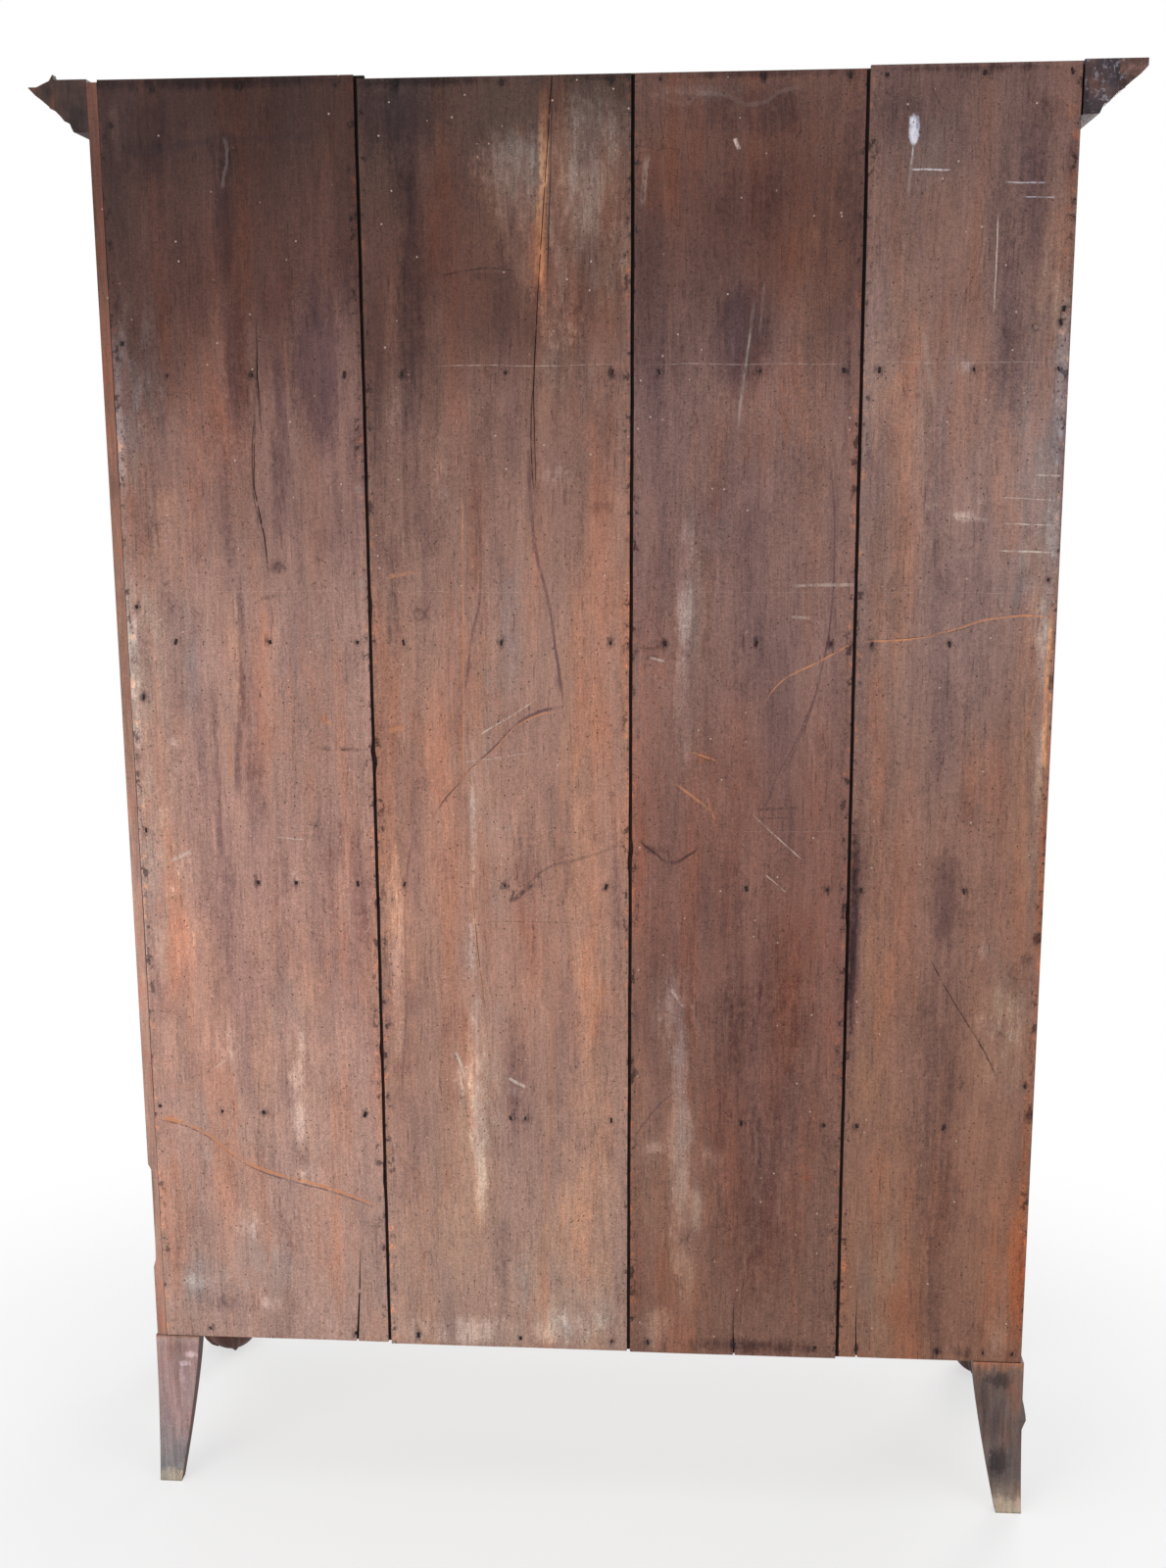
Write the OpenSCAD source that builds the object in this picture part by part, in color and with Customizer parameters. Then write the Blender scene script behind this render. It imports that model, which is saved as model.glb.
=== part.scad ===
// China cabinet with two glazed doors, a deep cornice, four wide back boards and claw feet.
// Millimetres. +Z is up and the front faces -Y. The origin is on the floor under the middle
// of the overall box. Left and right are as seen from the front, so right is +X.

/* [Case] */
// Width over the two sides
case_w = 1280; // [1160:10:1400]
// Depth from the front posts to the back of the rear legs
case_d = 400; // [360:5:460]
// Height of the case, without its legs
case_h = 1780; // [1720:10:1900]
// Height of the legs under the case
leg_h = 242; // [226:2:260]
// Thickness of the top board
top_board_t = 18; // [14:1:24]
// How far the top board lies below the cornice's top
top_drop = 4; // [1:1:10]
// Thickness of the bottom board
bottom_board_t = 18; // [14:1:20]
// How far the bottom board lies above the underside of the case
bottom_board_up = 4; // [0:1:8]

/* [Posts and legs] */
// Width of a rear post
rear_post_w = 70; // [64:1:80]
// Depth of a rear post behind its leg's taper
rear_post_d = 30.5; // [27:0.5:40]
// Width of the lip that covers the first back board's edge
lip_w = 14; // [10:1:20]
// Width of a front post
front_post_w = 60; // [50:1:70]
// Depth of a front post
front_post_d = 45; // [36:1:54]
// How far a rear leg stands proud of the back boards
leg_proud = 1.5; // [1:0.5:4]
// Depth of a rear leg at its top
leg_top_d = 26; // [22:1:30]
// Depth of a rear leg at the floor
leg_foot_d = 18; // [14:1:22]
// Width of the right rear leg at its top
right_leg_top_w = 64; // [56:1:68]
// Width of the right rear leg at the floor, inside the case's side
right_leg_foot_w = 25; // [20:1:34]
// Width of the left rear leg at its top
left_leg_top_w = 71; // [60:1:74]
// Width of the left rear leg at the floor, inside the case's side
left_leg_foot_w = 29; // [20:1:36]
// How far the rear legs splay beyond the case's side at the floor
leg_splay = 8; // [4:1:12]
// Height of the spur on the outside of the left rear leg
spur_h = 60; // [40:2:80]
// How far the spur stands out
spur_out = 8.5; // [4:0.5:12]

/* [Claw feet] */
// Side of the square block at the top of a front leg
knee_block = 62; // [54:1:70]
// Radius of the ball
ball_r = 46; // [38:1:50]
// Radius of the ankle
ankle_r = 17; // [14:1:20]
// How far the ball stands out from the block's middle, each way
ball_out = 35; // [28:1:40]
// Radius of a talon where it leaves the ankle
talon_r = 9; // [7:0.5:11]

/* [Shelves] */
// Thickness of a shelf
shelf_t = 20; // [16:1:24]
// Height of the lowest shelf's middle over the underside of the case
shelf_1_up = 358; // [340:2:380]
// Distance of the top shelf's middle below the top of the case
shelf_4_down = 377; // [350:1:400]
// How far the second shelf lies below an even share of the room between those two
shelf_2_low = 3; // [0:1:12]
// How far the third shelf lies below an even share of that room
shelf_3_low = 10; // [0:1:16]
// Depth of the plate groove in a shelf
plate_groove_d = 4; // [2:0.5:6]
// Width of the plate groove
plate_groove_w = 9; // [6:1:12]
// Distance of the plate groove from the back boards
plate_groove_in = 55; // [40:1:80]
// Width of the cleats under the shelves
cleat_w = 20; // [14:1:26]
// Height of the cleats
cleat_h = 18; // [12:1:26]

/* [Back] */
// Thickness of the back boards
back_board_t = 11; // [9:0.5:14]
// Width of the first back board, counted from the left as seen from behind
back_board_1_w = 339; // [300:1:350]
// Width of the second back board
back_board_2_w = 355; // [320:1:370]
// Width of the third back board
back_board_3_w = 294; // [270:1:310]
// Open joint between two back boards
board_gap = 4; // [2:0.5:6]
// How far a board's tongue reaches behind the next board
board_lap = 9; // [6:1:14]
// Side of a nail's square head
nail_w = 6; // [4:0.5:7]
// Height of a nail's head
nail_t = 3; // [2:0.5:4]
// How deep the nail heads are sunk
nail_sunk = 0.6; // [0.2:0.1:1.5]

/* [Cornice] */
// How far the cornice's crown stands out from the case
cornice_out = 78; // [66:1:90]
// How far the cornice's core stands out from the case
core_out = 43; // [39:1:50]
// Height of the cornice's core
core_h = 66; // [60:1:80]
// Height of the crown's square edge
crown_edge_h = 9.5; // [7:0.5:14]
// How deep the crown's broken corner is cut, along the moulding
break_l = 46; // [30:1:60]
// Height of the splinter beside the broken corner
splinter_h = 6.5; // [3:0.5:9]
// Height of the base moulding
base_h = 26; // [18:1:40]
// How far the base moulding stands out
base_out = 6; // [4:0.5:7]

/* [Frames] */
// Thickness of the rails of the case
rail_t = 22; // [19:1:26]
// How far the side rails lie behind the posts' faces
rail_reveal = 2; // [1:0.5:4]
// Height of the frieze rail under the top board
frieze_h = 140; // [110:1:170]
// Height of the bottom rail from its straight top edge to the underside of the case
bottom_rail_up = 48; // [40:1:60]
// How far the bottom rail hangs below the case beside the legs
apron_drop = 62; // [44:1:74]
// Height of the lowest side rail
side_low_h = 130; // [100:1:160]
// Height of the top side rail
side_top_h = 150; // [110:1:180]
// Height of the middle rails of the doors and the sides
mid_rail_h = 80; // [64:1:100]
// How far a pane or a panel goes into its groove
groove_d = 6; // [4:1:8]
// Play at the edges of a pane or a panel in its groove
groove_play = 0.5; // [0.3:0.1:0.9]
// Thickness of the glass
glass_t = 3; // [2:0.5:4]
// Thickness of a panel's edge
panel_edge_t = 6; // [4:0.5:8]
// Thickness of a panel's raised field
panel_field_t = 10; // [9:0.5:12]
// Width of the bevel round the raised field
panel_bevel = 26; // [16:1:34]
// Width of a glazing bar
bar_w = 20; // [14:1:28]
// How far the glazing bars lie behind the faces of their frame
bar_reveal = 1.5; // [1:0.5:3]

/* [Doors] */
// Thickness of the doors
door_t = 24; // [20:1:28]
// Width of a door stile
stile_w = 60; // [52:1:72]
// Height of a door's bottom rail
door_low_h = 80; // [64:1:110]
// Height of a door's top rail
door_top_h = 70; // [56:1:90]
// Gap beside the hinges
hinge_gap = 1; // [0.8:0.1:2]
// Gap between the two doors
meeting_gap = 3; // [2.6:0.1:4]
// Gap under the doors
door_low_gap = 2; // [1.5:0.5:4]
// Gap over the doors
door_top_gap = 3; // [1.5:0.5:4]

/* [Hinges] */
// Height of a hinge
hinge_h = 76; // [60:1:90]
// Radius of a hinge knuckle
knuckle_r = 5.5; // [4.5:0.1:6]
// Radius of a hinge pin
hinge_pin_r = 2.5; // [2:0.1:3]
// Radial play of a hinge pin
hinge_pin_play = 0.05; // [0.02:0.01:0.1]
// Gap between two knuckles
knuckle_gap = 0.3; // [0.2:0.1:0.6]
// Thickness of a hinge leaf
leaf_t = 2; // [1.5:0.1:2.5]
// Width of a hinge leaf
leaf_w = 19; // [15:1:19]
// How far a hinge's axis stands in front of the doors
hinge_out = 6; // [6:0.1:7]
// Distance of the outer hinges' middles from the door's ends
hinge_in = 150; // [110:5:200]

/* [Lock and bolts] */
// Width of the lock case
lock_w = 52; // [46:1:54]
// Height of the lock case
lock_h = 70; // [64:1:80]
// Depth of the lock case
lock_d = 16; // [15:1:20]
// Wall of the lock case
lock_wall = 1.5; // [1:0.1:2]
// Distance of the lock case from the door's edge
lock_in = 3; // [2:0.5:5]
// Height of the keyhole over the underside of the case
keyhole_up = 813; // [780:1:860]
// Height of the lock bolt over the keyhole
lock_bolt_up = 20; // [19:0.5:22]
// Height of the lock bolt
lock_bolt_h = 14; // [10:1:15]
// Thickness of the lock bolt
lock_bolt_t = 8; // [6:0.5:9]
// Radius of the key's shank
key_r = 3; // [2.6:0.1:3.4]
// Radius that the key's bit sweeps
key_bit_r = 9.5; // [8:0.5:10]
// Thickness of the key's bit
key_bit_t = 2.5; // [2:0.1:3]
// Radius of the ring at the key's end
key_bow_r = 12; // [10:0.5:15]
// Radius of the door bolts
bolt_r = 4; // [3:0.5:4.5]
// Length of a door bolt
bolt_l = 160; // [140:1:200]
// Play round a sliding piece
slide_play = 0.4; // [0.3:0.1:0.6]

/* [Hidden] */
$fn = 48;

LEFT = -1;
RIGHT = 1;

// Planes of the case
side_x = case_w / 2;
back_y = (case_d + cornice_out) / 2;
face_y = back_y - leg_proud;
board_y = face_y - back_board_t;
front_y = back_y - case_d;
top_z = leg_h + case_h;
top_board_z = top_z - top_drop - top_board_t;
bottom_board_z = leg_h + bottom_board_up;
post_front_y = board_y - rear_post_d;
post_back_y = front_y + front_post_d;
rear_x = side_x - rear_post_w;
front_x = side_x - front_post_w;
rail_out_x = side_x - rail_reveal;
rail_in_x = rail_out_x - rail_t;
rail_back_y = front_y + rail_t;

// Heights of the shelves' middles and of the rails
shelf_1_z = leg_h + shelf_1_up;
shelf_4_z = top_z - shelf_4_down;
shelf_step = (shelf_4_z - shelf_1_z) / 3;
shelf_2_z = shelf_1_z + shelf_step - shelf_2_low;
shelf_3_z = shelf_1_z + 2 * shelf_step - shelf_3_low;
shelf_zs = [shelf_1_z, shelf_2_z, shelf_3_z, shelf_4_z];
mid_z = [shelf_zs[0] - shelf_t / 2 - mid_rail_h / 4, shelf_zs[0] - shelf_t / 2 + mid_rail_h * 3 / 4];
frieze_z = top_board_z - frieze_h;
door_z = [leg_h + bottom_rail_up + door_low_gap, frieze_z - door_top_gap];
bar_zs = [shelf_2_z, shelf_3_z, shelf_4_z];

// Doors, drawn for the right one
glass_back = 2;
door_in_x = meeting_gap / 2;
door_out_x = front_x - hinge_gap;
door_back_y = front_y + door_t;
door_glass_y = front_y + (door_t - glass_t) / 2 + glass_back;
door_panel_y = front_y + (door_t - panel_edge_t) / 2;
door_open_x = [door_in_x + stile_w, door_out_x - stile_w];
door_light_z = [mid_z[1], door_z[1] - door_top_h];
door_panel_z = [door_z[0] + door_low_h, mid_z[0]];

// Side frames, drawn for the right one
side_open_y = [post_back_y, post_front_y];
side_light_z = [mid_z[1], top_board_z - side_top_h];
side_panel_z = [leg_h + side_low_h, mid_z[0]];
side_glass_x = rail_in_x + (rail_t - glass_t) / 2 - glass_back / 2;
side_panel_x = rail_in_x + (rail_t - panel_edge_t) / 2;

// Hinges
hinge_x = front_x - hinge_gap / 2;
hinge_y = front_y - hinge_out;
knuckles = 5;
knuckle_h = (hinge_h - (knuckles - 1) * knuckle_gap) / knuckles;
hinge_zs = [door_z[0] + hinge_in, (door_z[0] + door_z[1]) / 2, door_z[1] - hinge_in];

// Lock and bolts
key_up = 15;
lock_throw = 14;
strike_w = 17;
strike_in = 2;
strike_wall = 6;
strike_play = 0.8;
bolt_stand = 2;
bolt_guide_w = 20;
bolt_guide_h = 12;
bolt_guide_wall = 3;
bolt_knob_r = 3.5;
bolt_knob_l = 13;
bolt_end_in = 2;
bolt_front_in = 22;
bolt_knob_in = 76;
bolt_back_in = 112;
bore_over = 20;
keeper_t = 10;
keeper_w = 30;
keeper_wall = 4;
keeper_play = 0.8;
keeper_gap = 6;
keeper_low_gap = 2;
key_x = door_in_x + stile_w / 2;
key_z = leg_h + keyhole_up;
lock_x = door_in_x + lock_in;
lock_z = key_z - key_up;
lock_bolt_z = key_z + lock_bolt_up - lock_bolt_h / 2;
lock_bolt_y = door_back_y + (lock_d - lock_bolt_t) / 2;
door_bolt_x = door_in_x + stile_w / 2;
door_bolt_y = door_back_y + bolt_r + bolt_stand;

module block(x, y, z) {
    translate([x[0], y[0], z[0]]) cube([x[1] - x[0], y[1] - y[0], z[1] - z[0]]);
}

// What is drawn for the right side, also mirrored to the left
module on_side(side) {
    if (side < 0) {
        mirror([1, 0, 0]) children();
    } else {
        children();
    }
}

// An outline in X and Z, as a plate between two depths
module plate_xz(y) {
    translate([0, y[1], 0]) rotate([90, 0, 0]) linear_extrude(y[1] - y[0]) children();
}

// An outline in Y and Z, as a bar between two widths
module bar_yz(x) {
    translate([x[0], 0, 0]) rotate([90, 0, 90]) linear_extrude(x[1] - x[0]) children();
}

// Rear posts and their flat tapered legs

leg_steps = 14;
leg_step = 2;
leg_taper_power = 1.25;

function leg_inner_x(t, top_w, foot_w) =
    side_x - foot_w - (top_w - foot_w) * (1 - pow(1 - t, leg_taper_power));

function leg_outer_x(t) = side_x + leg_step + (leg_splay - leg_step) * pow(1 - t, 2);

module rear_leg(top_w, foot_w) {
    intersection() {
        plate_xz([post_front_y, back_y]) polygon(concat(
            [for (i = [0:leg_steps]) [leg_inner_x(i / leg_steps, top_w, foot_w), leg_h * i / leg_steps]],
            [for (i = [leg_steps:-1:0]) [leg_outer_x(i / leg_steps), leg_h * i / leg_steps]]
        ));
        bar_yz([0, 2 * side_x]) polygon([
            [back_y - leg_foot_d, 0],
            [back_y, 0],
            [back_y, leg_h],
            [back_y - leg_top_d, leg_h]
        ]);
    }
}

module rear_post_body() {
    block([rear_x, side_x], [post_front_y, board_y], [leg_h, top_board_z]);
}

// Grooves of the side frame's glass and panel
module side_grooves() {
    side_pane(groove_play);
    side_panel_edge(groove_play);
}

// The chip that is missing from the lip, low on its outer edge
chip_z = 110;
chip_h = 163;
chip_d = 7;
cut_over = 1;

module lip_chip() {
    plate_xz([board_y - cut_over, face_y + cut_over]) polygon([
        [side_x + cut_over, leg_h + chip_z],
        [side_x, leg_h + chip_z],
        [side_x - chip_d * 0.5, leg_h + chip_z + chip_h * 0.07],
        [side_x - chip_d * 0.7, leg_h + chip_z + chip_h * 0.37],
        [side_x - chip_d, leg_h + chip_z + chip_h * 0.56],
        [side_x - chip_d, leg_h + chip_z + chip_h * 0.8],
        [side_x - chip_d * 0.8, leg_h + chip_z + chip_h * 0.93],
        [side_x, leg_h + chip_z + chip_h],
        [side_x + cut_over, leg_h + chip_z + chip_h]
    ]);
}

module rear_post_right() {
    color("saddlebrown") difference() {
        union() {
            rear_post_body();
            rear_leg(right_leg_top_w, right_leg_foot_w);
            block([side_x - lip_w, side_x], [board_y, face_y], [leg_h, top_board_z + top_board_t]);
        }
        lip_chip();
        side_grooves();
    }
}

// A blunt spur, steeper below its peak than above
spur_z = 130;

module leg_spur() {
    plate_xz([back_y - leg_foot_d, back_y]) polygon([
        [side_x - spur_out, spur_z],
        [side_x + leg_step / 2, spur_z],
        [side_x + spur_out * 0.6, spur_z + spur_h * 0.2],
        [side_x + spur_out, spur_z + spur_h * 0.35],
        [side_x + spur_out * 0.9, spur_z + spur_h * 0.5],
        [side_x + spur_out * 0.55, spur_z + spur_h * 0.75],
        [side_x + leg_step / 2, spur_z + spur_h],
        [side_x - spur_out, spur_z + spur_h]
    ]);
}

module rear_post_left() {
    color("saddlebrown") on_side(LEFT) difference() {
        union() {
            rear_post_body();
            rear_leg(left_leg_top_w, left_leg_foot_w);
            leg_spur();
        }
        side_grooves();
    }
}

// Front posts, with mortises for the hinges' leaves

module front_post(side) {
    color("saddlebrown") on_side(side) difference() {
        block([front_x, side_x], [front_y, post_back_y], [leg_h, top_board_z]);
        for (z = hinge_zs) {
            block([front_x - 1, front_x + leaf_t], [front_y - 1, front_y + leaf_w],
                  [z - hinge_h / 2, z + hinge_h / 2]);
        }
        side_grooves();
    }
}

// Front legs: a square block, a knee, an ankle and a claw round a ball

ring_sides = 24;
block_proud = 2;
knee_x = side_x + block_proud - knee_block / 2;
knee_y = front_y - block_proud + knee_block / 2;
ball_x = knee_x + ball_out;
ball_y = knee_y - ball_out;
ball_flat = 0.5;
ball_z = ball_r - ball_flat;

// Height, step out along the diagonal each way, half width and squareness. Between the block
// and the ball, a ring's height is a share of the way down.
block_h = 34;
shaft_h = leg_h - block_h - ball_z;

function shaft_z(share) = leg_h - block_h - shaft_h * share;

leg_rings = [
    [leg_h, 0, knee_block / 2, 9],
    [leg_h - block_h, 0, knee_block / 2, 9],
    [shaft_z(0.07), ball_out * 0.09, knee_block / 2 + 1, 5],
    [shaft_z(0.17), ball_out * 0.17, knee_block / 2 + 1, 3.4],
    [shaft_z(0.30), ball_out * 0.26, knee_block * 0.45, 2.8],
    [shaft_z(0.43), ball_out * 0.31, ankle_r * 1.35, 2.4],
    [shaft_z(0.57), ball_out * 0.4, ankle_r * 1.12, 2.2],
    [shaft_z(0.67), ball_out * 0.51, ankle_r, 2],
    [shaft_z(0.75), ball_out * 0.69, ankle_r * 1.18, 2],
    [ball_z + ball_r * 0.6, ball_out, ankle_r * 1.6, 2],
    [ball_z, ball_out, ankle_r * 1.2, 2]
];

// Distance from a ring's middle to its edge, between a circle and a square
function ring_reach(a, half, squareness) =
    half / pow(pow(abs(cos(a)), squareness) + pow(abs(sin(a)), squareness), 1 / squareness);

function ring_points(ring) = [
    for (i = [0:ring_sides - 1])
        let (a = 360 * (i + 0.5) / ring_sides, reach = ring_reach(a, ring[2], ring[3]))
            [knee_x + ring[1] + reach * cos(a), knee_y - ring[1] + reach * sin(a), ring[0]]
];

// Faces of a tube from its first ring to its last, with both ends closed
function tube_faces(rings, sides) = concat(
    [[for (i = [sides - 1:-1:0]) i]],
    [[for (i = [0:sides - 1]) (rings - 1) * sides + i]],
    [for (r = [0:rings - 2], i = [0:sides - 1]) let (j = (i + 1) % sides)
        [r * sides + i, (r + 1) * sides + j, (r + 1) * sides + i]],
    [for (r = [0:rings - 2], i = [0:sides - 1]) let (j = (i + 1) % sides)
        [r * sides + i, r * sides + j, (r + 1) * sides + j]]
);

module leg_shaft() {
    polyhedron(
        points = [for (ring = leg_rings) each ring_points(ring)],
        faces = tube_faces(len(leg_rings), ring_sides)
    );
}

// Talons: from the ankle over the ball to the floor, each at its own angle from the outward side
talon_angles = [-45, 30, -120, 112];
talon_steps = 9;
talon_sides = 10;
talon_stand = 2;
talon_from = 18;
talon_to = 148;

// Thick at the ankle, swelling at two joints and thin at the claw's tip
function talon_reach(t) = talon_r * (1 - 0.75 * pow(t, 3)) * (1 + 0.14 * cos(720 * t));

function talon_ring(t, turn) =
    let (down = talon_from + (talon_to - talon_from) * t, rise = ball_r + talon_stand)
    [for (i = [0:talon_sides - 1])
        let (a = 360 * i / talon_sides, out = rise + talon_reach(t) * cos(a), aside = talon_reach(t) * sin(a))
            [ball_x + out * sin(down) * cos(turn) - aside * sin(turn),
             ball_y + out * sin(down) * sin(turn) + aside * cos(turn),
             ball_z + out * cos(down)]];

module talon(turn) {
    polyhedron(
        points = [for (i = [0:talon_steps]) each talon_ring(i / talon_steps, turn)],
        faces = tube_faces(talon_steps + 1, talon_sides)
    );
}

module front_leg(side) {
    color("sienna") on_side(side) intersection() {
        union() {
            leg_shaft();
            translate([ball_x, ball_y, ball_z]) sphere(ball_r);
            for (turn = talon_angles) talon(turn);
        }
        block([0, 2 * side_x], [-2 * case_d, back_y], [0, leg_h]);
    }
}

// Side frames

module side_pane(grow) {
    block([side_glass_x, side_glass_x + glass_t],
          [side_open_y[0] - groove_d - grow, side_open_y[1] + groove_d + grow],
          [side_light_z[0] - groove_d - grow, side_light_z[1] + groove_d + grow]);
}

module side_panel_edge(grow) {
    block([side_panel_x, side_panel_x + panel_edge_t],
          [side_open_y[0] - groove_d - grow, side_open_y[1] + groove_d + grow],
          [side_panel_z[0] - groove_d - grow, side_panel_z[1] + groove_d + grow]);
}

module side_rails(side) {
    color("saddlebrown") on_side(side) difference() {
        for (z = [[leg_h, side_panel_z[0]], mid_z, [side_light_z[1], top_board_z]]) {
            block([rail_in_x, rail_out_x], side_open_y, z);
        }
        side_grooves();
    }
}

module side_glass(side) {
    color("lightblue", 0.4) on_side(side) side_pane(0);
}

// A raised field: the size across, the bevel and the rise, lying on Z = 0
module raised_field(w, h, rise) {
    intersection() {
        translate([-w / 2, 0, 0]) rotate([90, 0, 90]) linear_extrude(w) polygon([
            [-h / 2, 0], [h / 2, 0], [h / 2 - panel_bevel, rise], [panel_bevel - h / 2, rise]
        ]);
        translate([0, h / 2, 0]) rotate([90, 0, 0]) linear_extrude(h) polygon([
            [-w / 2, 0], [w / 2, 0], [w / 2 - panel_bevel, rise], [panel_bevel - w / 2, rise]
        ]);
    }
}

module side_panel(side) {
    w = side_open_y[1] - side_open_y[0];
    h = side_panel_z[1] - side_panel_z[0];
    color("saddlebrown") on_side(side) union() {
        side_panel_edge(0);
        translate([side_panel_x + panel_edge_t, (side_open_y[0] + side_open_y[1]) / 2,
                   (side_panel_z[0] + side_panel_z[1]) / 2])
            rotate([0, 90, 0]) rotate([0, 0, 90]) raised_field(w, h, panel_field_t - panel_edge_t);
    }
}

// A bar's section: flat at the glass, with a narrow nose outside
module bar_section(rise) {
    polygon([
        [-bar_w / 2, 0],
        [bar_w / 2, 0],
        [bar_w / 2, rise * 0.4],
        [bar_w * 0.24, rise * 0.75],
        [bar_w * 0.16, rise],
        [-bar_w * 0.16, rise],
        [-bar_w * 0.24, rise * 0.75],
        [-bar_w / 2, rise * 0.4]
    ]);
}

// Bars over a pane that stands in X and Z and is seen from -Y
module glazing_bars(x, z, glass_y, rise) {
    middle = (x[0] + x[1]) / 2;
    translate([middle, glass_y, z[0]]) rotate([0, 0, 180]) linear_extrude(z[1] - z[0]) bar_section(rise);
    for (bar_z = bar_zs) {
        for (part = [[x[0], middle - bar_w / 2], [middle + bar_w / 2, x[1]]]) {
            translate([part[0], glass_y, bar_z]) rotate([90, 0, 90]) rotate([0, 0, 90])
                linear_extrude(part[1] - part[0]) bar_section(rise);
        }
    }
}

module side_glazing_bars(side) {
    color("saddlebrown") on_side(side)
        translate([side_glass_x + glass_t, 0, 0]) rotate([0, 0, 90])
            glazing_bars(side_open_y, side_light_z, 0, rail_out_x - bar_reveal - side_glass_x - glass_t);
}

// Boards of the case

module top_board() {
    color("peru") block([-side_x, side_x], [front_y, board_y], [top_board_z, top_board_z + top_board_t]);
}

// A board that fits round the four posts
module fitted_board(front, z, thick) {
    translate([0, 0, z]) linear_extrude(thick) polygon([
        [-front_x, front], [front_x, front],
        [front_x, post_back_y], [rail_in_x, post_back_y],
        [rail_in_x, post_front_y], [rear_x, post_front_y],
        [rear_x, board_y], [-rear_x, board_y],
        [-rear_x, post_front_y], [-rail_in_x, post_front_y],
        [-rail_in_x, post_back_y], [-front_x, post_back_y]
    ]);
}

module bottom_board() {
    color("peru") fitted_board(rail_back_y, bottom_board_z, bottom_board_t);
}

module shelf(number) {
    z = shelf_zs[number - 1] + shelf_t / 2;
    groove_y = board_y - plate_groove_in;
    color("peru") difference() {
        fitted_board(post_back_y, z - shelf_t, shelf_t);
        block([-side_x, side_x], [groove_y - plate_groove_w, groove_y], [z - plate_groove_d, z + 1]);
    }
}

module shelf_cleats() {
    color("peru") for (z = shelf_zs) {
        for (side = [LEFT, RIGHT]) {
            on_side(side) block([rail_in_x - cleat_w, rail_in_x], [post_back_y, post_front_y],
                                [z - shelf_t / 2 - cleat_h, z - shelf_t / 2]);
        }
    }
}

module frieze_rail() {
    color("saddlebrown") block([-front_x, front_x], [front_y, rail_back_y], [frieze_z, top_board_z]);
}

// The bottom rail's lower edge: low beside the legs, with a drop in the middle
apron_steps = 60;
apron_lift = 10;
apron_pendant = 24;

function apron_z(u) =
    leg_h - apron_lift - (apron_drop - apron_lift) * pow(abs(u), 5)
    - apron_pendant * pow(max(0, cos(u * 360)), 2) * (abs(u) < 0.25 ? 1 : 0);

module bottom_rail() {
    color("saddlebrown") plate_xz([front_y, rail_back_y]) polygon(concat(
        [[front_x, leg_h + bottom_rail_up], [-front_x, leg_h + bottom_rail_up]],
        [for (i = [-apron_steps:apron_steps]) [front_x * i / apron_steps, apron_z(i / apron_steps)]]
    ));
}

// Mouldings: an outline out from the case and up, run round the front and the sides

// Plan of the front run, mitred at both ends
module front_plan(inner, outer) {
    polygon([
        [-side_x - inner, front_y - inner], [-side_x - outer, front_y - outer],
        [side_x + outer, front_y - outer], [side_x + inner, front_y - inner]
    ]);
}

// Plan of the right side's run, mitred at the front
module side_plan(inner, outer, end_y) {
    polygon([
        [side_x + inner, front_y - inner], [side_x + outer, front_y - outer],
        [side_x + outer, end_y], [side_x + inner, end_y]
    ]);
}

module front_run(inner, outer, z, h) {
    intersection() {
        translate([-side_x - outer - 1, front_y, z]) rotate([90, 0, 90]) mirror([1, 0, 0])
            linear_extrude(2 * (side_x + outer + 1)) children();
        translate([0, 0, z]) linear_extrude(h, center = true) front_plan(inner, outer);
    }
}

module side_run(inner, outer, end_y, z, h) {
    intersection() {
        translate([side_x, end_y, z]) rotate([90, 0, 0]) linear_extrude(end_y - front_y + outer + 1) children();
        translate([0, 0, z]) linear_extrude(h, center = true) side_plan(inner, outer, end_y);
    }
}

// How far down the core's height the crown ends
crown_foot = 0.59;

// The core: square behind, with a hollow, two small steps and a round nose below.
// Its points are shares of its width and height.
core_shape = [
    [0, 0], [1, 0], [1, crown_foot], [0.88, 0.67], [0.79, 0.74], [0.74, 0.78], [0.64, 0.80],
    [0.59, 0.81], [0.54, 0.90], [0.48, 0.985], [0.33, 0.995], [0, 1]
];

module core_section() {
    polygon([for (p = core_shape) [core_out * p[0], -core_h * p[1]]]);
}

// The crown under its square edge: a long sloping hollow and a small step at the core.
// Its points are shares of the way in to the core and of the way down.
crown_shape = [[0, 0], [0.26, 0.32], [0.49, 0.53], [0.77, 0.81], [0.785, 0.87], [1, 1]];

module crown_section() {
    crown_w = cornice_out - core_out;
    crown_d = core_h * crown_foot - crown_edge_h;
    polygon(concat(
        [[core_out, 0], [cornice_out, 0]],
        [for (p = crown_shape) [cornice_out - crown_w * p[0], -crown_edge_h - crown_d * p[1]]]
    ));
}

module cornice_core_front() {
    color("sienna") front_run(0, core_out, top_z, 4 * core_h) core_section();
}

module cornice_core(side) {
    color("sienna") on_side(side) side_run(0, core_out, face_y, top_z, 4 * core_h) core_section();
}

module cornice_crown_front() {
    color("sienna") front_run(core_out, cornice_out, top_z, 4 * core_h) crown_section();
}

module cornice_crown_left() {
    color("sienna") on_side(LEFT) side_run(core_out, cornice_out, face_y, top_z, 4 * core_h) crown_section();
}

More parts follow.
